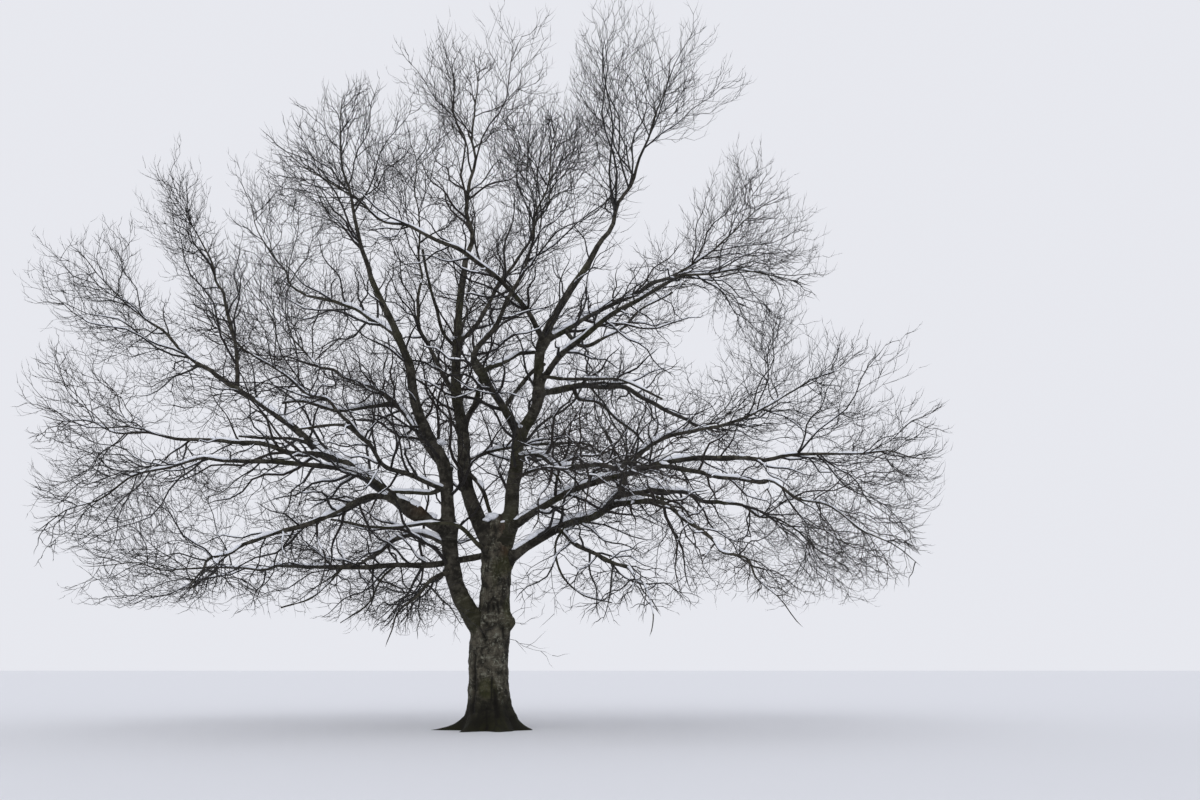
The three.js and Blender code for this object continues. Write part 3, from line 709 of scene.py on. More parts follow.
stemThick = np.array([rule["girth"][1] for rule in ownerRules])
stemLengths = np.array([lengthOf(stems[name]) for name in owners])
stemParents = {
    "path": np.stack([drawnStems[name] for name in owners]),
    "length": stemLengths,
    "run": stemLengths,
    "owner": np.arange(len(owners)),
    "seed": seedsOf(ownerRules),
    "first": twigRule["first"],
    "sparse": 1,
    "radius": lambda share: stemRadius(stemThick, share),
}
crown = growAll(stemParents, "stem")

# Side shoots along the boughs, inside the crown, as long as on a stem of the nominal length
shoots = {"first": 0.16, "nominal": 4.8, "seedShift": 500, "sparse": 0.6}
limbNames = list(limbs)
limbParents = {
    "path": np.stack([routes[name] for name in limbNames]),
    "length": np.full(len(limbNames), shoots["nominal"]),
    "run": np.array([routeLengths[name] for name in limbNames]),
    "owner": np.arange(len(limbNames)),
    "seed": seedsOf([limbs[name] for name in limbNames]) + np.uint64(shoots["seedShift"]),
    "first": shoots["first"],
    "sparse": shoots["sparse"],
    "radius": lambda share: np.array([limbRadius(name, at) for name, at in zip(limbNames, share)]),
}
sideShoots = growAll(limbParents, "limb")

# Thin sprouts straight from the bark, low on the trunk and the left stem
sproutRule = {"girth": 0.008, "taper": 0.7, "seed": 900}
sproutRoutes = [
    [(0.42, -0.28, 2.72), (0.80, -0.38, 3.02), (1.12, -0.46, 3.42)],
    [(0.46, -0.16, 2.62), (0.92, -0.26, 2.52), (1.35, -0.34, 2.86)],
    [(0.38, -0.12, 2.22), (0.90, -0.30, 2.02), (1.62, -0.52, 1.76)],
    [(-0.55, -0.34, 2.92), (-0.90, -0.52, 2.62), (-0.92, -0.60, 2.02)],
    [(-0.78, -0.34, 3.60), (-1.25, -0.66, 3.48), (-1.42, -0.82, 2.72)],
    [(-0.98, -0.40, 4.30), (-1.55, -0.80, 4.34), (-1.82, -1.02, 3.60)],
    [(0.36, -0.18, 3.55), (0.78, -0.42, 3.62), (1.02, -0.56, 3.10)],
]


def makeSprouts():
    start, middle, end = (np.array([route[place] for route in sproutRoutes]) for place in range(3))
    seeds = np.arange(len(sproutRoutes), dtype=np.uint64) + np.uint64(sproutRule["seed"])
    length = np.linalg.norm(end - start, axis=1)
    sprouts = {
        "start": start, "middle": middle, "end": end, "length": length, "run": length, "seed": seeds,
        "girth": np.full(len(seeds), sproutRule["girth"]), "owner": np.full(len(seeds), owners.index("low")),
        "draws": drawsOf(seeds, 4), "first": twigRule["first"], "sparse": 1,
        "radius": lambda share: sproutRule["girth"] * (1 - sproutRule["taper"] * share),
    }
    sprouts["path"] = pathOf(sprouts, np.linspace(0, 1, twigRule["rings"][2] + 1), twigRule["sway"][2])
    return {2: sprouts, **growAll(sprouts, "free", lowest=3)}


families = {"on stems": crown, "on boughs": sideShoots, "from the bark": makeSprouts()}
for where, family in families.items():
    print("twigs", where, [len(twigs["seed"]) for twigs in family.values()])


# Meshes
def addPiece(name, vertices, faces, materials, attributes=None, faceMaterials=None):
    mesh = bpy.data.meshes.new(name)
    mesh.from_pydata(vertices.tolist(), [], faces.tolist())
    for key, values in (attributes or {}).items():
        kind, field = ("FLOAT_VECTOR", "vector") if values.ndim == 2 else ("FLOAT", "value")
        layer = mesh.attributes.new(key, kind, "POINT")
        layer.data.foreach_set(field, values.astype(np.float32).ravel())
    for material in materials:
        mesh.materials.append(material)
    if faceMaterials is not None:
        mesh.polygons.foreach_set("material_index", faceMaterials.astype(np.int32))
    mesh.polygons.foreach_set("use_smooth", np.full(len(faces), True))
    mesh.update()
    piece = bpy.data.objects.new(name, mesh)
    bpy.context.scene.collection.objects.link(piece)
    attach(piece, body)
    return piece


def tubeFrames(paths):
    # Two directions square to each path at each of its points, carried along without a twist
    ahead = directions(paths)
    side = squareTo(ahead[:, 0])
    sides = []
    for ring in range(paths.shape[1]):
        side = unit(side - ahead[:, ring] * dot(side, ahead[:, ring]))
        sides.append(side)
    sides = np.stack(sides, axis=1)
    return sides, np.cross(sides, ahead)


def twigTubes(paths, radii, sides):
    # Closed, pointed tubes along many paths at once
    count, rings = paths.shape[:2]
    side, other = tubeFrames(paths)
    around = 2 * np.pi * np.arange(sides) / sides
    cos, sin = np.cos(around)[:, None], np.sin(around)[:, None]
    out = side[:, :, None] * cos + other[:, :, None] * sin
    skin = paths[:, :, None] + out * radii[:, :, None, None]
    corners = skin[:, :-1].reshape(count, -1, 3)
    vertices = np.concatenate([corners, paths[:, -1:]], axis=1)
    each = vertices.shape[1]
    faces = []
    for ring in range(rings - 2):
        for corner in range(sides):
            a = ring * sides + corner
            b = ring * sides + (corner + 1) % sides
            faces += [(a, a + sides, b), (b, a + sides, b + sides)]
    last = (rings - 2) * sides
    for corner in range(sides):
        faces.append((last + corner, each - 1, last + (corner + 1) % sides))
    for corner in range(1, sides - 1):
        faces.append((0, corner, corner + 1))
    faces = np.array(faces)
    allFaces = (faces[None] + (np.arange(count) * each)[:, None, None]).reshape(-1, 3)
    return vertices.reshape(-1, 3), allFaces


def joined(parts):
    shift = 0
    vertices, faces = [], []
    for some, corners in parts:
        vertices.append(some)
        faces.append(corners + shift)
        shift += len(some)
    return np.vstack(vertices), np.vstack(faces)


def taperOf(twigs, order):
    share = np.linspace(0, 1, twigRule["rings"][order] + 1)[None]
    return twigs["girth"][:, None] * (1 - twigRule["drawnTaper"] * share)


# Materials
def newMaterial(name, color, roughness, specular):
    material = bpy.data.materials.new(name)
    material.use_nodes = True
    shader = material.node_tree.nodes["Principled BSDF"]
    shader.inputs["Base Color"].default_value = (*color, 1)
    shader.inputs["Roughness"].default_value = roughness
    shader.inputs["Specular IOR Level"].default_value = specular
    return material, material.node_tree, shader


def addNode(tree, kind, **settings):
    node = tree.nodes.new(kind)
    for key, value in settings.items():
        setattr(node, key, value)
    return node


def noiseNode(tree, vector, scale, detail, rough=0.6):
    node = addNode(tree, "ShaderNodeTexNoise")
    node.inputs["Scale"].default_value = scale
    node.inputs["Detail"].default_value = detail
    node.inputs["Roughness"].default_value = rough
    tree.links.new(vector, node.inputs["Vector"])
    return node.outputs["Fac"]


def ramp(tree, value, low, high, fromColor=(0, 0, 0), toColor=(1, 1, 1)):
    node = addNode(tree, "ShaderNodeValToRGB")
    node.color_ramp.elements[0].position = low
    node.color_ramp.elements[1].position = high
    node.color_ramp.elements[0].color = (*fromColor, 1)
    node.color_ramp.elements[1].color = (*toColor, 1)
    tree.links.new(value, node.inputs["Fac"])
    return node.outputs["Color"]


def mixColors(tree, share, under, over):
    node = addNode(tree, "ShaderNodeMix", data_type="RGBA")
    tree.links.new(share, node.inputs["Factor"])
    for socket, value in ((node.inputs[6], under), (node.inputs[7], over)):
        if isinstance(value, tuple):
            socket.default_value = (*value, 1)
        else:
            tree.links.new(value, socket)
    return node.outputs[2]


def multiply(tree, first, second):
    node = addNode(tree, "ShaderNodeMath", operation="MULTIPLY")
    tree.links.new(first, node.inputs[0])
    tree.links.new(second, node.inputs[1])
    return node.outputs[0]


def attribute(tree, name, output="Fac"):
    return addNode(tree, "ShaderNodeAttribute", attribute_name=name).outputs[output]


def addBump(tree, shader, height, strength, distance):
    bump = addNode(tree, "ShaderNodeBump")
    bump.inputs["Strength"].default_value = strength
    bump.inputs["Distance"].default_value = distance
    tree.links.new(height, bump.inputs["Height"])
    tree.links.new(bump.outputs["Normal"], shader.inputs["Normal"])


def spotted(tree, vector, pattern):
    # Where a pattern shows: the noise's scale, detail and roughness, and the values between which it fades in
    scale, detail, rough, low, high = pattern
    return ramp(tree, noiseNode(tree, vector, scale, detail, rough), low, high)


# Colours of the bark, and the patterns in which they lie
barkLook = {
    "plate": (0.098, 0.087, 0.064),  # tops of the bark's ridges
    "worn": (0.020, 0.018, 0.013),
    "plates": (4.2, 6, 0.72, 0.43, 0.58),
    "lichen": (0.21, 0.21, 0.165),
    "lichenSpots": (13, 6, 0.7, 0.53, 0.59),
    "lichenAreas": (3.4, 3, 0.5, 0.46, 0.6),
    "strokes": (1, 4, 0.6, 0.56, 0.68),  # pale strokes that lie across the bark
    "strokeScale": (5, 5, 26),
    "foot": (0.007, 0.006, 0.003),
    "footFade": (0.25, 1.0),  # heights between which the dark foot ends
    "moss": (0.038, 0.040, 0.010),
    "rust": (0.070, 0.036, 0.020),
    # colour of the painted shade in fissures, grooves and the scar, used too for the darker foot
    "fissure": (0.007, 0.006, 0.004),
    "roughness": 0.92,
    "specular": 0.25,
    "grain": (24, 8, 0.75),  # scale, detail and roughness of its finest relief
    "bump": (0.7, 0.025),  # how strong and how deep that is
}
limbLook = dict(
    barkLook, plate=(0.068, 0.061, 0.047), worn=(0.018, 0.016, 0.012), lichen=(0.14, 0.14, 0.11),
    lichenSpots=(13, 6, 0.7, 0.6, 0.66)
)


def makeBark(name, look, footed=False):
    material, tree, shader = newMaterial(name, look["plate"], look["roughness"], look["specular"])
    grain = attribute(tree, "grain", "Vector")
    plates = spotted(tree, grain, look["plates"])
    color = mixColors(tree, plates, look["worn"], look["plate"])
    spots, areas = (spotted(tree, grain, look[key]) for key in ("lichenSpots", "lichenAreas"))
    color = mixColors(tree, multiply(tree, spots, areas), color, look["lichen"])
    stretched = addNode(tree, "ShaderNodeMapping")
    stretched.inputs["Scale"].default_value = look["strokeScale"]
    tree.links.new(grain, stretched.inputs["Vector"])
    strokes = multiply(tree, spotted(tree, stretched.outputs["Vector"], look["strokes"]), plates)
    color = mixColors(tree, strokes, color, look["lichen"])
    if footed:
        height = addNode(tree, "ShaderNodeSeparateXYZ")
        tree.links.new(grain, height.inputs["Vector"])
        low = ramp(tree, height.outputs["Z"], *look["footFade"], (1, 1, 1), (0, 0, 0))
        color = mixColors(tree, low, color, look["foot"])
    # moss, rust, then the fissure colour: painted shade in fissures, grooves and the scar, and the darker
    # foot
    for where, over in (("moss", "moss"), ("rust", "rust"), ("hollow", "fissure")):
        color = mixColors(tree, attribute(tree, where), color, look[over])
    tree.links.new(color, shader.inputs["Base Color"])
    addBump(tree, shader, noiseNode(tree, grain, *look["grain"]), *look["bump"])
    return material


trunkBark = makeBark("trunkBark", barkLook, footed=True)
limbBark = makeBark("limbBark", limbLook)


def makePatchy(name, look, color, dark, light):
    # A finish in patches from dark to light, by scale, detail and the values between which they fade in,
    # with a fine grain, by scale, detail, strength and depth
    material, tree, shader = newMaterial(name, color, look["roughness"], look["specular"])
    place = addNode(tree, "ShaderNodeTexCoord").outputs["Object"]
    scale, detail, low, high = look["patches"]
    patches = ramp(tree, noiseNode(tree, place, scale, detail), low, high, dark, light)
    tree.links.new(patches, shader.inputs["Base Color"])
    scale, detail, strength, distance = look["grain"]
    addBump(tree, shader, noiseNode(tree, place, scale, detail), strength, distance)
    return material


twigLook = {
    "kinds": {"dark": (0.018, 0.015, 0.013), "brown": (0.026, 0.020, 0.016), "grey": (0.030, 0.028, 0.026)},
    "shaded": 0.7,  # how dark its patches are, next to its own colour
    "roughness": 0.7,
    "specular": 0.35,
    "patches": (9, 3, 0.35, 0.65),
    "grain": (140, 3, 0.3, 0.002),
}
twigMaterials = []
for kind, color in twigLook["kinds"].items():
    darker = tuple(part * twigLook["shaded"] for part in color)
    twigMaterials.append(makePatchy(kind + "Twig", twigLook, color, darker, color))

# snow in random patches from a bluish painted shade to a whiter painted light
snowLook = {
    "shaded": (0.84, 0.87, 0.93),
    "paintedLight": (0.93, 0.94, 0.97),
    "roughness": 0.65,
    "specular": 0.4,
    "patches": (5, 4, 0.3, 0.7),
    "grain": (90, 5, 0.4, 0.006),
}
# its base colour is the painted shade
snowMaterial = makePatchy("snow", snowLook, snowLook["shaded"], snowLook["shaded"], snowLook["paintedLight"])


# Bark with relief: rings along a route, blended into the limbs that it meets
relief = {
    "fissure": 0.005,  # depth of the fissures on the trunk
    "fissureWide": (0.07, 0.07, 0.20),  # their spacing round and along
    "fissureThin": 0.17,  # how narrow they are, next to that
    "fissureFiner": (0.4, 2.1),  # how strong and how much closer a second pattern of them is
    "bend": 0.3,  # length over which their course bends
    "bendBy": (0.5, 0.5, 0.35),
    "shade": 0.4,  # how dark the painted shade in a fissure is
    "lump": 0.03,  # height of the lumps on the trunk
    "lumpWide": 0.3,
    "lumpFiner": (0.5, 0.4),  # how high and how wide the smaller ones are, next to those
    "fine": 0.006,
    "fineWide": 0.03,
    "fullAt": 0.3,  # radius of a bough that would have the trunk's relief
    "onBoughs": (0.2, 0.8),  # its least and its greatest share on a bough
    # painted shade in a bough's fissures, as a share of that on the trunk
    "boughShade": 0.8,
}

# Grooves on the camera's side of the trunk, as lines of places on its bark; each is cut in and darkened with
# painted shade
grooves = [
    {"line": [(-0.41, -0.35, 1.81), (-0.39, -0.37, 1.09), (-0.4, -0.36, 0.44)], "deep": 0.06, "wide": 0.045},
    {"line": [(-0.32, -0.33, 2.84), (-0.31, -0.34, 2.49), (-0.11, -0.43, 2.17)], "deep": 0.06, "wide": 0.04},
    {"line": [(0.12, -0.54, 0.97), (0.18, -0.52, 0.66), (0.23, -0.49, 0.35)], "deep": 0.05, "wide": 0.055},
    {"line": [(0.06, -0.51, 1.26), (0.07, -0.51, 0.73)], "deep": 0.03, "wide": 0.035},
    {"line": [(0.31, -0.33, 2.45), (0.33, -0.31, 2.25)], "deep": 0.05, "wide": 0.045},
    {"line": [(-0.25, -0.38, 2.71), (-0.07, -0.44, 2.54)], "deep": 0.03, "wide": 0.03},
    {"line": [(-0.22, -0.3, 4.25), (-0.08, -0.3, 4.2)], "deep": 0.02, "wide": 0.08},
]
frontSide = -0.12  # marks stay nearer to the camera than this

# A healed scar where a bough was lost: an arched groove round a hollow, both darkened with painted shade
scar = {
    "arch": {
        "line": [
            (-0.08, -0.37, 2.84), (-0.07, -0.37, 3.08), (0.04, -0.38, 3.23), (0.16, -0.36, 3.11),
            (0.19, -0.35, 2.86),
        ],
        "deep": 0.01, "wide": 0.04,
    },
    "middle": [(0.05, -0.38, 2.98), (0.05, -0.38, 3.00)], "hollow": 0.06, "across": 0.09,
}

wrinkles = {"high": 0.005, "wide": (0.3, 0.3, 0.045), "fade": (1.9, 0.9)}  # folds across the lower trunk
footDark = {"fade": (0.8, 0.6), "uneven": 0.12, "wide": 0.22, "lessOnCrests": 0.8}  # darker towards the foot, fading out between 0.6 and 0.8 m at an uneven edge, less on the root crests
shades = {"bark": 0.9, "scar": 0.9, "footDark": 0.8}  # how dark each of these is on the trunk: painted shade in the fissures and grooves, painted shade in the scar, and the darker foot
moss = {
    "fade": 0.5, "wide": 0.2, "uneven": 0.45,  # at the trunk's foot
    "burl": 0.5,
    "patch": 0.5, "patchWide": 0.5, "patchFade": (0.15, 0.6),  # on the trunk
    "most": 0.85,
    "bough": 0.35, "boughWide": 0.6, "boughFade": (0.2, 0.7),
}
rust = {
    "line": [(0.28, -0.3, 5.35), (0.32, -0.3, 4.35)],  # reddish bark under the fork of the right stem
    "across": 0.11, "most": 0.75, "wide": 0.15, "uneven": 0.4,
    "lump": (-1.85, -0.85, 5.36), "lumpWide": 0.22,  # reddish, bare wood on the big left bough
}

# How wide the bark runs together where limbs meet
forks = {
    "stem": 0.05,  # at the root of the left stem
    "share": 1.3,  # elsewhere, in radii of the slimmer limb
    "most": 0.2,
    "grown": 0.35,  # how much a radius may grow, as a share of that width
    "rounds": 5,
}


def gapsTo(points, name, pieces=20):
    # Distance from each point to a limb's or the trunk's surface
    starts, ends = segmentsOf(routes[name], pieces)
    away, share = distanceTable(points, starts, ends)
    nearest = away.argmin(axis=1)
    rows = np.arange(len(points))
    along = (nearest + share[rows, nearest]) / pieces
    if name == "trunk":
        thick = trunkColumn(points[:, 2])
    else:
        thick = limbRadius(name, along)
    return away[rows, nearest] - thick


def trunkColumn(height):
    narrowed = blendStep(height, trunk["neckFrom"], trunk["neckTo"])
    return trunk["girth"] + (trunk["neck"] - trunk["girth"]) * narrowed


def forkFill(name, other):
    if {name, other} == {"leftStem", "trunk"}:
        return forks["stem"]
    slimmer = min(limbs[one]["girth"][0] for one in (name, other) if one != "trunk")
    return min(forks["most"], forks["share"] * slimmer)


def filled(centres, out, radius, name, neighbours):
    # Each radius grown until it lies on the smooth union with the neighbours
    widths = {other: forkFill(name, other) for other in neighbours}
    most = forks["grown"] * max(widths.values())
    grown = radius.copy()
    for _ in range(forks["rounds"]):
        points = (centres + out * grown[..., None]).reshape(-1, 3)
        level = (grown - radius).ravel()
        for other, width in widths.items():
            gap = gapsTo(points, other)
            meet = np.maximum(width - np.abs(level - gap), 0) / width
            level = np.minimum(level, gap) - meet * meet * width / 4
        grown = np.clip(grown - level.reshape(grown.shape), radius, radius + most)
    return grown


def markOn(spots, line, wide):
    # How strongly a mark shows at each place, measured as seen from the front and on that side alone
    points = spots.reshape(-1, 3)
    seen = np.array([1, 0, 1])
    line = np.array(line) * seen
    gap = distanceTable(points * seen, line[:-1], line[1:])[0].min(axis=1)
    gap = gap + farAway * (points[:, 1] > frontSide)
    return bell(gap, wide).reshape(spots.shape[:-1])


def uneven(grain, wide, pattern, part):
    # From 1 - 2 * part to 1
    return 1 - part + part * noise(grain / wide, patterns[pattern])


def gridOf(*parts):
    return np.stack(np.broadcast_arrays(*parts), axis=2)


def barkGrain(around, along, radius):
    # Where each place lies in the bark's patterns: on a straight, round log
    return gridOf(np.cos(around) * radius, np.sin(around) * radius, along)


def barkRelief(grain, size, seed):
    # How far the bark stands out, and how much painted shade each place gets for lying in a fissure
    wide = np.array(relief["fissureWide"])
    warp = noise(grain / relief["bend"], seed)[..., None] * np.array(relief["bendBy"])
    part, finer = relief["fissureFiner"]
    plates = noise(grain / wide + warp, seed + 1) + part * noise(grain / wide * finer, seed + 2)
    hollow = bell(plates, relief["fissureThin"])
    part, smaller = relief["lumpFiner"]
    lumps = noise(grain / relief["lumpWide"], seed + 3)
    lumps = lumps + part * noise(grain / (relief["lumpWide"] * smaller), seed + 4)
    fine = noise(grain / relief["fineWide"], seed + 5)
    out = size * (-relief["fissure"] * hollow + relief["lump"] * lumps + relief["fine"] * fine)
    return out, hollow * relief["shade"]


def ringFaces(rings, sides):
    ring, corner = np.meshgrid(np.arange(rings - 1), np.arange(sides), indexing="ij")
    a = (ring * sides + corner).ravel()
    b = (ring * sides + (corner + 1) % sides).ravel()
    first = np.stack([a, b, b + sides], axis=1)
    second = np.stack([a, b + sides, a + sides], axis=1)
    return np.vstack([first, second])


def closedRings(skin):
    # Faces for rings of corners, with a middle point at each end
    rings, sides = skin.shape[:2]
    vertices = np.vstack([skin.reshape(-1, 3), skin[0].mean(axis=0), skin[-1].mean(axis=0)])
    corner = np.arange(sides)
    after = (corner + 1) % sides
    low = np.stack([np.full(sides, rings * sides), after, corner], axis=1)
    base = (rings - 1) * sides
    high = np.stack([np.full(sides, rings * sides + 1), base + corner, base + after], axis=1)
    return vertices, np.vstack([ringFaces(rings, sides), low, high])


def padded(values):
    # An attribute's values for closedRings' two extra points
    flat = values.reshape(-1, *values.shape[2:])
    return np.concatenate([flat, values[0].mean(axis=0)[None], values[-1].mean(axis=0)[None]])


def closedBark(skin, **looks):
    # Rings of bark with what their material reads, as closed vertices, faces and attributes
    vertices, faces = closedRings(skin)
    return vertices, faces, {key: padded(values) for key, values in looks.items()}


def childrenOf(name):
    return [other for other in limbs if limbs[other]["on"] == name]


trunkMesh = {
    "sides": 160, "rings": 230, "crowding": 1.15,
    "dome": 0.42, "domeRings": 8, "domeEnd": 0.02,  # its rounded top
    "grain": 0.47,  # radius of the log that its bark's patterns lie on
    "flatFoot": (-0.001, 0.02),  # heights between which the relief starts
}
trunkTop = {"from": 4.2, "to": 4.95, "girth": 0.62}  # between the stems the trunk narrows to this share


def degreesApart(bearing, other):
    return np.abs((bearing - other + 180) % 360 - 180)


def trunkRings():
    # The middle of each ring up to the rounded top, and how far the top draws it in
    route = routes["trunk"]
    share = np.linspace(0, 1, trunkMesh["rings"]) ** trunkMesh["crowding"]
    centres = pointsAt(share, np.linspace(0, 1, len(route)), route)
    rise = np.sin(np.linspace(0, np.pi / 2, trunkMesh["domeRings"] + 1))[1:]
    dome = centres[-1] + up * (rise * trunkMesh["dome"])[:, None]
    drawnIn = np.sqrt(np.maximum(1 - rise ** 2, trunkMesh["domeEnd"] ** 2))
    closing = np.concatenate([np.ones(len(centres)), drawnIn])
    return np.vstack([centres, dome]), closing[:, None]


def rootFlare(height, degrees):
    # How far the roots stand out, and how near each place is to the crest of one
    nearest = degreesApart(degrees, np.array(roots["bearings"])[:, None, None]).min(axis=0)
    ridge = roots["hollow"] + (1 - roots["hollow"]) * bell(nearest, roots["width"])
    flare = roots["reach"] * ridge * np.exp(-height / roots["height"])
    low = [
        reach * bell(degreesApart(degrees, crest), lowRoots["width"])
        for crest, reach in lowRoots["reach"].items()
    ]
    return flare + np.max(low, axis=0) * np.exp(-height / lowRoots["height"]), ridge


def makeTrunk():
    centres, closing = trunkRings()
    height = centres[:, 2:3]
    bearing = 2 * np.pi * np.arange(trunkMesh["sides"]) / trunkMesh["sides"]
    degrees = np.degrees(bearing)[None]
    flare, ridge = rootFlare(height, degrees)
    toBurl = degreesApart(degrees, burl["bearing"]) / burl["wide"]
    onBurl = np.exp(-((height - burl["height"]) / burl["tall"]) ** 2 - toBurl ** 2)
    narrow = 1 - (1 - trunkTop["girth"]) * blendStep(height, trunkTop["from"], trunkTop["to"])
    radius = (trunkColumn(height) * narrow + flare + burl["out"] * onBurl) * closing
    out = np.stack([np.cos(bearing), np.sin(bearing), np.zeros(len(bearing))], axis=1)
    out = out[None].repeat(len(centres), 0)
    radius = filled(centres[:, None], out, radius, "trunk", childrenOf("trunk"))
    grain = barkGrain(bearing, height, trunkMesh["grain"])
    spots = centres[:, None] + out * radius[..., None]
    stand, hollow = barkRelief(grain, 1.0, patterns["trunkBark"])
    folds = noise(grain / np.array(wrinkles["wide"]), patterns["wrinkle"])
    folds = folds * blendStep(height, *wrinkles["fade"])
    stand = stand + wrinkles["high"] * folds
    stand = stand + onBurl * burl["bump"] * noise(grain / burl["bumpWide"], patterns["burl"])
    # grooves and the scar's arch are cut into the bark and darkened with painted shade
    for groove in [*grooves, scar["arch"]]:
        depth = markOn(spots, groove["line"], groove["wide"])
        stand = stand - groove["deep"] * depth
        hollow = np.maximum(hollow, depth)
    # the scar's middle is sunk in, and further on darkened with painted shade
    inScar = markOn(spots, scar["middle"], scar["across"])
    stand = (stand - scar["hollow"] * inScar) * blendStep(height, *trunkMesh["flatFoot"]) * closing
    # the trunk is darker towards the foot and less so on the root crests; this joins the painted shade of
    # fissures, grooves and scar in one mask
    footDarkTop = height + footDark["uneven"] * noise(grain / footDark["wide"], patterns["footDark"])
    darkerFoot = blendStep(footDarkTop, *footDark["fade"]) * (1 - footDark["lessOnCrests"] * (ridge - roots["hollow"]))
    hollow = np.clip(hollow * shades["bark"] + inScar * shades["scar"] + darkerFoot * shades["footDark"], 0, 1)
    green = np.exp(-height / moss["fade"]) * uneven(grain, moss["wide"], "footMoss", moss["uneven"])
    patches = blendStep(noise(grain / moss["patchWide"], patterns["mossPatch"]), *moss["patchFade"])
    green = np.clip(green + moss["burl"] * onBurl + moss["patch"] * patches, 0, moss["most"])
    worn = markOn(spots, rust["line"], rust["across"])
    red = rust["most"] * worn * uneven(grain, rust["wide"], "rust", rust["uneven"]).clip(0, 1)
    skin = centres[:, None] + out * (radius + stand)[..., None]
    vertices, faces, looks = closedBark(skin, grain=grain, hollow=hollow, moss=green, rust=red)
    piece = addPiece("trunkBark", vertices, faces, [trunkBark], attributes=looks)
    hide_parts("trunk")


makeTrunk()

limbMesh = {"ringStep": 0.06, "sidesPerMetre": 60, "fewest": 10, "most": 40}


def barkTube(route, thick, sides, index, joins=None):
    # A closed tube of bark along a route, as vertices, faces and what its material reads
    share = np.linspace(0, 1, len(thick))
    centres = pointsAt(share, np.linspace(0, 1, len(route)), route)
    side, other = (part[0] for part in tubeFrames(centres[None]))
    around = 2 * np.pi * np.arange(sides) / sides
    out = side[:, None] * np.cos(around)[:, None] + other[:, None] * np.sin(around)[:, None]
    radius = np.repeat(thick[:, None], sides, axis=1)
    if joins:
        radius = filled(centres[:, None], out, radius, *joins)
    grain = barkGrain(around, (share * lengthOf(route))[:, None] + index * patternStep, thick.mean())
    size = np.clip(thick / relief["fullAt"], *relief["onBoughs"])[:, None]
    stand, hollow = barkRelief(grain, size, patterns["limbBark"] + index)
    skin = centres[:, None] + out * (radius + stand)[..., None]
    red = bell(np.linalg.norm(skin - np.array(rust["lump"]), axis=2), rust["lumpWide"])
    patches = blendStep(noise(grain / moss["boughWide"], patterns["limbMoss"]), *moss["boughFade"])
    # painted shade in the bough's fissures, lighter than on the trunk
    hollow = hollow * relief["boughShade"]
    return closedBark(skin, grain=grain, hollow=hollow, moss=moss["bough"] * patches, rust=red)


def sidesFor(thick):
    return int(np.clip(2 * np.pi * thick * limbMesh["sidesPerMetre"], limbMesh["fewest"], limbMesh["most"]))


def makeBough(index, name):
    parent = limbs[name]["on"]
    sisters = [one for one in childrenOf(parent) if one != name] if parent == "trunk" else []
    joins = (name, [parent, *sisters, *childrenOf(name)])
    radii = limbRadius(name, np.linspace(0, 1, int(routeLengths[name] / limbMesh["ringStep"])))
    sides = sidesFor(limbs[name]["girth"][0])
    vertices, faces, looks = barkTube(routes[name], radii, sides, index, joins)
    piece = addPiece(name + "Bark", vertices, faces, [limbBark], attributes=looks)
    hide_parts(name + "_bough")


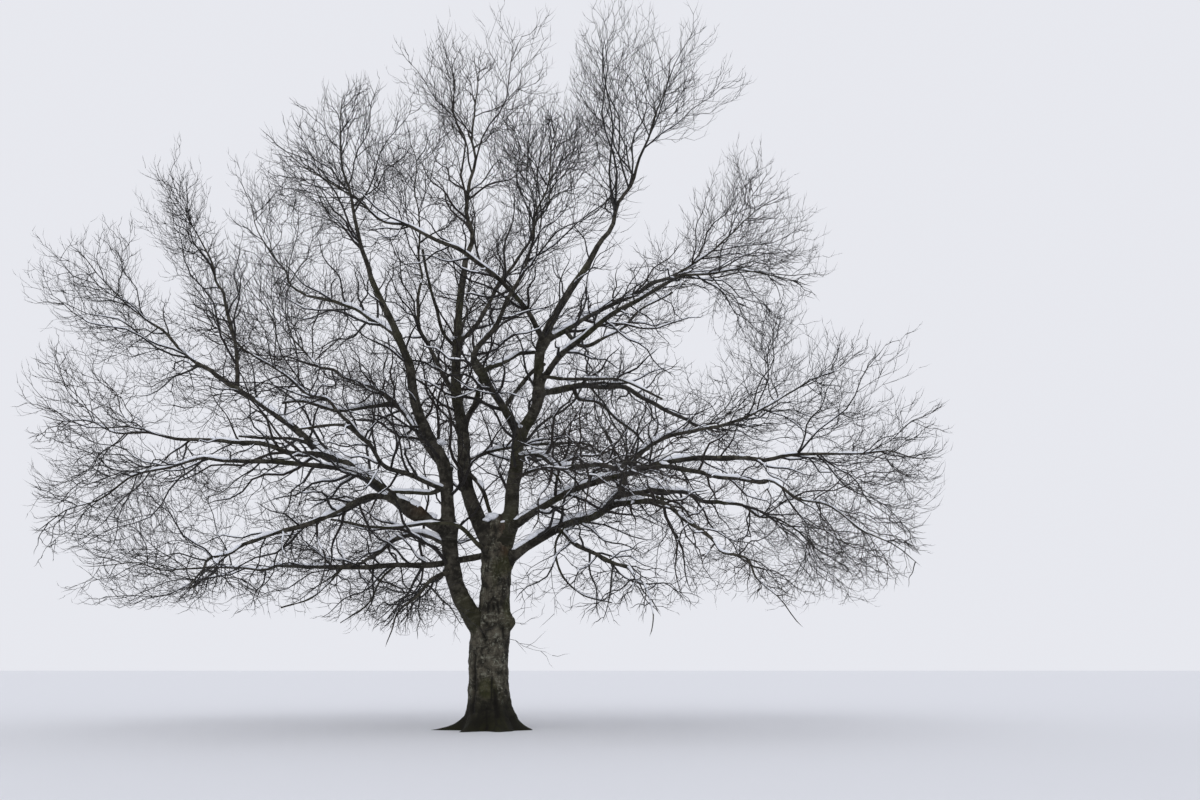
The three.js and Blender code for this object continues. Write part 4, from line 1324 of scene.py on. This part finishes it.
# Thinner boughs between the limbs: each springs from a limb and goes through its bends to its tip
slimBoughs = {
    "centreOver": {
        "on": "centreStem", "at": 0.43, "girth": (0.075, 0.055),
        "through": [
            (-0.55, -0.1, 8.25), (-0.25, -1.1, 8.9), (0.15, -0.9, 9.15), (0.6, 0.0, 9.65), (0.95, 0.4, 9.8),
        ],
    },
    "backTie": {
        "on": "centreFront", "at": 0.22, "girth": (0.06, 0.05),
        "through": [(0.5, -0.3, 8.5), (0.9, 0.4, 9.2), (1.2, 0.9, 9.6)],
    },
    "prop": {
        "on": "trunk", "at": 0.85, "girth": (0.055, 0.03),
        "through": [
            (-0.35, -0.5, 4.5), (-0.85, -0.85, 4.95), (-1.5, -1.0, 5.0), (-2.35, -1.0, 4.9),
            (-3.9, -1.4, 5.05),
        ],
    },
    "rightArchLow": {
        "on": "rightBack", "at": 0.25, "girth": (0.05, 0.03),
        "through": [(2.1, 1.4, 8.75), (2.65, 1.8, 8.75), (3.3, 2.5, 8.35), (4.0, 3.3, 7.85)],
    },
    "rightMiddle": {
        "on": "rightStem", "at": 0.53, "girth": (0.05, 0.03),
        "through": [(1.95, -0.7, 8.8), (3.25, -1.8, 8.45), (4.2, -2.9, 7.75)],
    },
    "rightThird": {
        "on": "rightUpper", "at": 0.2, "girth": (0.05, 0.03),
        "through": [(2.25, -0.1, 9.85), (3.05, 0.6, 10.35), (3.85, 1.3, 11.25), (4.8, 2.1, 12.05)],
    },
    "rightMidDroop": {
        "on": "rightLow", "at": 0.55, "girth": (0.045, 0.025),
        "through": [(3.9, 0.1, 5.95), (4.65, 0.3, 5.7), (5.3, 0.5, 5.05)],
    },
    "leftSnowy": {
        "on": "leftUp", "at": 0.55, "girth": (0.065, 0.035),
        "through": [(-3.5, 0.7, 8.4), (-4.1, -0.2, 8.05), (-4.75, -1.2, 8.05), (-5.15, -1.8, 7.9)],
    },
    "leftMidLow": {
        "on": "leftMid", "at": 0.77, "girth": (0.045, 0.03),
        "through": [(-3.35, -2.8, 7.05), (-4.1, -2.4, 7.15), (-4.65, -2.2, 7.15)],
    },
    "leftFarHigh": {
        "on": "bigLeft", "at": 0.53, "girth": (0.045, 0.03),
        "through": [(-5.15, -0.85, 7.15), (-5.85, -1.0, 7.15), (-6.4, -1.1, 7.2)],
    },
    "centreUpLeft": {
        "on": "centreStem", "at": 0.7, "girth": (0.05, 0.03),
        "through": [(-1.5, 0.0, 10.2), (-1.65, -0.6, 10.9), (-1.85, -1.6, 12.0)],
    },
    "leftOverLow": {
        "on": "leftStem", "at": 0.43, "girth": (0.06, 0.045),
        "through": [(-1.5, -0.65, 5.85), (-2.05, -0.85, 5.85), (-2.7, -1.1, 5.75)],
    },
    "shortSnowy": {
        "on": "centreStem", "at": 0.3, "girth": (0.06, 0.05),
        "through": [(-0.35, -0.1, 6.0), (-0.03, -0.08, 5.23)],
    },
    "rightRise": {
        "on": "rightStem", "at": 0.2, "girth": (0.05, 0.03),
        "through": [(0.75, -0.3, 6.4), (1.25, -0.6, 6.5), (1.55, -0.9, 6.3), (1.75, -1.1, 6.0)],
    },
    "lowCurl": {
        "on": "rightLow", "at": 0.32, "girth": (0.035, 0.015),
        "through": [(1.65, -0.9, 4.5), (1.8, -1.4, 3.7), (2.35, -1.7, 3.2), (3.0, -2.0, 3.0)],
    },
    "leftCurl": {
        "on": "leftFlat", "at": 0.45, "girth": (0.035, 0.015),
        "through": [(-3.0, 0.6, 3.75), (-3.25, 0.2, 3.1), (-3.8, -0.2, 2.6)],
    },
    "leftCurlFar": {
        "on": "leftFlat", "at": 0.72, "girth": (0.03, 0.015),
        "through": [(-4.45, 1.0, 3.7), (-4.9, 0.6, 3.2), (-5.45, 0.3, 3.0)],
    },
}


slimRoot = {"out": 0.4, "fade": 0.06}  # their thicker root, in their own radii, and the share of the length
slimSides = 14
slimFirst = 61  # the first one's number, which sets its bends and patterns


def slimRoute(name, index):
    rule = slimBoughs[name]
    start = pickAlong(routes[rule["on"]], rule["at"])
    return swayed(smoothRoute([start, *rule["through"]]), slimFirst + index, limbSway)


slimRoutes = {name: slimRoute(name, index) for index, name in enumerate(slimBoughs)}


def slimRadius(name, share):
    thick, slim = slimBoughs[name]["girth"]
    return thick + (slim - thick) * share + thick * slimRoot["out"] * np.exp(-share / slimRoot["fade"])


def makeSlimBoughs():
    parts, looks = [], []
    for index, (name, route) in enumerate(slimRoutes.items()):
        share = np.linspace(0, 1, int(lengthOf(route) / limbMesh["ringStep"]))
        vertices, faces, look = barkTube(route, slimRadius(name, share), slimSides, slimFirst + index)
        parts.append((vertices, faces))
        looks.append(look)
    vertices, faces = joined(parts)
    together = {key: np.concatenate([look[key] for look in looks]) for key in looks[0]}
    addPiece("slimBark", vertices, faces, [limbBark], attributes=together)


for index, name in enumerate(limbs):
    makeBough(index, name)
makeSlimBoughs()
print("bark: trunk,", len(limbs), "boughs and", len(slimBoughs), "thinner ones")


# Sprays of twigs, one piece for each mass; the open ones have only a share of their finest twigs
openSprays = {
    "rightRear": 0, "rightFront": 0, "low": 0, "leftMid": 0.5, "rightBack": 0.4, "centreFront": 0.2,
    "centreStem": 0.65, "centreRight": 0.4, "rightStem": 0.65, "leftStem": 0.7, "centreLeft": 0.7,
    "crossLeft": 0.6,
}
evenly = 0.618  # picks a share of the twigs that is spread over all of them


def makeSpray(owner, name):
    path = drawnStems[name][None, ::stemEvery]
    if name != "low":
        path = np.concatenate([routes[name][None, -2:-1], path], axis=1)  # from inside the limb's tip
    thick = stemRadius(ownerRules[owner]["girth"][1] * stemStart, np.linspace(0, 1, path.shape[1]))
    parts = [twigTubes(path, thick[None], twigRule["sides"][0])]
    for family in families.values():
        for order, twigs in family.items():
            mine = twigs["owner"] == owner
            if order == max(family) and name in openSprays:
                mine &= (np.arange(len(mine)) * evenly) % 1 < openSprays[name]
            own = pick({key: twigs[key] for key in ("path", "girth", "owner")}, mine)
            if len(own["girth"]):
                parts.append(twigTubes(own["path"], taperOf(own, order), twigRule["sides"][order]))
    vertices, faces = joined(parts)
    stemFaces = len(parts[0][1])
    kind = 1 + owner % len(twigLook["kinds"])
    piece = addPiece(
        name + "Spray", vertices, faces, [limbBark, *twigMaterials],
        # no painted shade on the stems
        attributes={"grain": vertices, "hollow": np.zeros(len(vertices))},
        faceMaterials=np.where(np.arange(len(faces)) < stemFaces, 0, kind)
    )
    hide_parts(name + "_twigs")
    return len(faces)


sprayFaces = [makeSpray(owner, name) for owner, name in enumerate(owners)]
print("sprays:", len(sprayFaces), "with", sum(sprayFaces), "triangles, most", max(sprayFaces))


# Snow: thin ridges along the tops of boughs that lie flat enough, and lumps in the forks
snow = {
    "flat": (0.60, 0.92),  # how level a bough must be, for none and for a full cover
    "keptFlat": (0.35, 0.6),  # the same for the shares that are always covered
    "keptFade": 0.04,  # how softly these end, as a share of the bough
    "patch": 0.7,  # length of the patches, in metres
    "bare": (-0.2, 0.2),  # the patches' noise where there is none, and where the cover is full
    "apart": 1.7,
    "thick": 0.07,
    "most": 0.95,  # and no thicker than this, in the bough's radii
    "lumpy": 0.35,
    "lumps": 9,  # bumps along a patch
    "wide": 62,  # degrees to each side of the top
    "across": 5,
    "edge": 1.02,  # where its edges lie, in the bough's radii
    "sunk": 0.35,  # and how far they sink in where the cover ends
    "inside": (0.3, 0.5),  # its two lower corners, upward and sideways from the bough's middle
    "least": 0.02,  # the thinnest cover that is drawn
    "from": 0.014,  # the thinnest twig that holds any, by its radius
    "lastOrder": 2,  # finer orders of twigs hold none
    "fromShoot": 0.02,  # nor do those of the first orders that are thinner than this at their root
    "slimRoot": 0.12,  # none on this first share of a thin bough
    "step": 0.13,  # metres between its rings on a bough
    "slimEvery": 4, "stemEvery": 2,  # of a thin bough's and a stem's points, each fourth and each second
    "slimSeed": 150, "stemSeed": 40,  # the first one's seed
    "twigSeeds": 97,  # how many seeds the twigs share
}

nowhere = (2, 2)  # past the end of any bough

# Shares of a bough that are always covered
alwaysSnowy = {
    "rightLow": (0.12, 0.55), "rightFar": (0.12, 0.6), "rightUpper": (0.12, 0.6), "leftBack": (0.2, 0.5),
    "rightFront": (0.15, 0.6), "rightBow": (0.1, 0.7), "bigLeft": (0.28, 0.5), "prop": (0.45, 0.7),
    "leftSnowy": (0.1, 0.9), "leftOverLow": (0.3, 0.9), "centreOver": (0.5, 0.8), "shortSnowy": (0.4, 0.9),
    "rightRise": (0.3, 0.8), "leftUp": (0.3, 0.5), "rightArch": (0.3, 0.6),
}


def snowRidges(path, radii, seed, always=nowhere):
    # Closed ridges along one bough, one for each stretch that holds snow
    ahead = directions(path)
    side = unit(np.cross(ahead, up))
    top = np.cross(side, ahead)
    run = np.concatenate([[0], np.cumsum(np.linalg.norm(np.diff(path, axis=0), axis=1))])
    share = run / run[-1]
    place = alongNoise(run, snow["patch"], seed * snow["apart"])
    level = np.hypot(ahead[:, 0], ahead[:, 1])
    cover = blendStep(level, *snow["flat"]) * blendStep(noise(place, patterns["snowCover"]), *snow["bare"])
    cover = cover * (radii > snow["from"])
    kept = blendStep(share, always[0] - snow["keptFade"], always[0])
    kept = kept * (1 - blendStep(share, always[1], always[1] + snow["keptFade"]))
    cover = np.maximum(cover, kept * blendStep(level, *snow["keptFlat"]))
    cover[[0, -1]] = 0
    lumpy = 1 + snow["lumpy"] * noise(place * snow["lumps"], patterns["snowBumps"])
    angles = np.radians(np.linspace(-snow["wide"], snow["wide"], snow["across"]))[None, :, None]
    crest = np.cos(np.linspace(-1, 1, snow["across"]) * np.pi / 2)[None, :]
    depth = np.minimum(snow["thick"], radii * snow["most"]) * lumpy * cover
    height = radii[:, None] * (snow["edge"] - snow["sunk"] * (1 - cover[:, None])) + depth[:, None] * crest
    around = top[:, None] * np.cos(angles) + side[:, None] * np.sin(angles)
    outer = path[:, None] + around * height[..., None]
    upward, sideways = snow["inside"]
    sideways = np.array([sideways, -sideways])[None, :, None]
    low = path[:, None] + (top[:, None] * upward + side[:, None] * sideways) * radii[:, None, None]
    skin = np.concatenate([outer, low], axis=1)
    held = cover > snow["least"]
    parts = []
    first = None
    for ring in range(len(held)):
        if held[ring] and first is None:
            first = ring - 1
        if not held[ring] and first is not None:
            parts.append(closedRings(skin[first:ring + 1]))
            first = None
    return parts


lump = {"rings": 9, "sides": 12, "shape": (1, 0.8, 0.55), "uneven": 0.28, "bumps": 1.3, "apart": 5.1}


def snowLump(place, size, seed):
    # A flattened, uneven ball
    rise = np.linspace(-np.pi / 2, np.pi / 2, lump["rings"] + 2)[1:-1, None]
    around = 2 * np.pi * np.arange(lump["sides"])[None] / lump["sides"]
    ball = gridOf(np.cos(rise) * np.cos(around), np.cos(rise) * np.sin(around), np.sin(rise))
    bumps = noise(ball * lump["bumps"] + seed * lump["apart"], patterns["snowLump"])[..., None]
    return closedRings(np.array(place) + ball * (1 + lump["uneven"] * bumps) * size * np.array(lump["shape"]))


# Forks that hold a lump of snow on the camera's side, and how large it is
snowForks = [
    ((-0.03, -0.1, 5.30), 0.17), ((-0.19, -0.1, 5.41), 0.1), ((0.23, -0.16, 5.14), 0.09),
    ((0.35, -0.38, 8.09), 0.12), ((0.63, -0.14, 7.87), 0.09), ((-1.19, 0.3, 10.17), 0.12),
    ((-1.36, -0.62, 7.19), 0.16), ((-1.21, -0.5, 6.77), 0.09), ((-1.59, -0.55, 5.45), 0.17),
    ((-0.85, 0.08, 6.53), 0.08),
]

# A lump of snow sinks in steps, until the bark is within this share of its size from its middle
settling = {"step": 0.02, "steps": 60, "onBark": 0.3, "trunkTop": 0.22}
trunkEnd = routes["trunk"][-1] + up * settling["trunkTop"]


def settled(place, size):
    # The place lowered until it lies on the nearest bark, or on the trunk's rounded top
    spot = np.array(place, float)
    for _ in range(settling["steps"]):
        toTop = np.linalg.norm(spot - trunkEnd) - settling["trunkTop"]
        nearest = min(toTop, *(gapsTo(spot[None], name)[0] for name in ["trunk", *limbs]))
        if nearest < settling["onBark"] * size:
            break
        spot[2] -= settling["step"]
    return spot


def snowOnLimbs():
    parts = []
    for index, name in enumerate(limbs):
        count = min(int(routeLengths[name] / snow["step"]), routeSteps)
        path = routes[name][np.round(np.linspace(0, routeSteps, count)).astype(int)]
        radii = limbRadius(name, np.linspace(0, 1, len(path)))
        parts += snowRidges(path, radii, index, alwaysSnowy.get(name, nowhere))
    for index, (name, route) in enumerate(slimRoutes.items()):
        path = route[::snow["slimEvery"]]
        share = np.linspace(0, 1, len(path))
        radii = slimRadius(name, share) * (share > snow["slimRoot"])
        parts += snowRidges(path, radii, index + snow["slimSeed"], alwaysSnowy.get(name, nowhere))
    return parts


def snowOnTwigs():
    parts = []
    for index, name in enumerate(owners[:-1]):
        path = drawnStems[name][::snow["stemEvery"]]
        radii = stemRadius(stemThick[index], np.linspace(0, 1, len(path)))
        parts += snowRidges(path, radii, index + snow["stemSeed"])
    for family in families.values():
        for order, twigs in family.items():
            if order > snow["lastOrder"]:
                break
            for index, path in enumerate(twigs["path"]):
                radii = twigs["girth"][index] * (1 - twigRule["drawnTaper"] * np.linspace(0, 1, len(path)))
                if radii[0] > snow["fromShoot"] and twigs["owner"][index] != owners.index("low"):
                    parts += snowRidges(path, radii, index % snow["twigSeeds"])
    return parts


# Snow where a bough leaves another: at which point of its route, how steep it may be, and in its radii
collar = {"at": 4, "steepest": 0.75, "size": 0.9}


def makeSnow():
    parts = snowOnLimbs() + snowOnTwigs()
    for name in limbs:
        place = routes[name][collar["at"]]
        if limbs[name]["on"] != "trunk" and directions(routes[name])[collar["at"], 2] < collar["steepest"]:
            thick = limbRadius(name, collar["at"] / routeSteps)
            parts.append(snowLump(place + up * thick, thick * collar["size"], len(parts)))
    for place, size in snowForks:
        parts.append(snowLump(settled(place, size), size, len(parts)))
    vertices, faces = joined(parts)
    addPiece("boughSnow", vertices, faces, [snowMaterial])
    print("snow:", len(parts), "patches with", len(faces), "triangles")


makeSnow()


# Floor, light and camera
ground = {"size": 600, "color": (0.72, 0.73, 0.76), "roughness": 0.9, "specular": 0.1}


def makeFloor():
    mesh = bpy.data.meshes.new("floor")
    corners = [(x * ground["size"], y * ground["size"], 0) for x, y in ((-1, -1), (1, -1), (1, 1), (-1, 1))]
    mesh.from_pydata(corners, [], [(0, 1, 2, 3)])
    mesh.materials.append(newMaterial("floor", ground["color"], ground["roughness"], ground["specular"])[0])
    floor = bpy.data.objects.new("floor", mesh)
    bpy.context.scene.collection.objects.link(floor)


light = {"sky": (0.80, 0.81, 0.86), "skyStrength": 1.0, "sun": 0.7, "sunWide": 50, "sunTurn": (38, -14, 0)}


def makeLight():
    world = bpy.data.worlds.new("overcast")
    world.use_nodes = True
    background = world.node_tree.nodes["Background"]
    background.inputs["Color"].default_value = (*light["sky"], 1)
    background.inputs["Strength"].default_value = light["skyStrength"]
    bpy.context.scene.world = world
    lamp = bpy.data.lights.new("softSun", "SUN")
    lamp.energy = light["sun"]
    lamp.angle = math.radians(light["sunWide"])
    sun = bpy.data.objects.new("softSun", lamp)
    sun.rotation_euler = [math.radians(turn) for turn in light["sunTurn"]]
    bpy.context.scene.collection.objects.link(sun)
    bpy.context.scene.view_settings.view_transform = "Standard"


def makeCamera():
    lens = bpy.data.cameras.new("camera")
    lens.lens = view["lens"]
    lens.sensor_width = view["sensor"]
    lens.clip_end = view["farthest"]
    camera = bpy.data.objects.new("camera", lens)
    camera.location = view["place"]
    camera.rotation_euler = (math.radians(90 + view["upward"]), 0, 0)
    bpy.context.scene.collection.objects.link(camera)
    bpy.context.scene.camera = camera


makeFloor()
makeLight()
makeCamera()
print("stage: floor, light and camera")
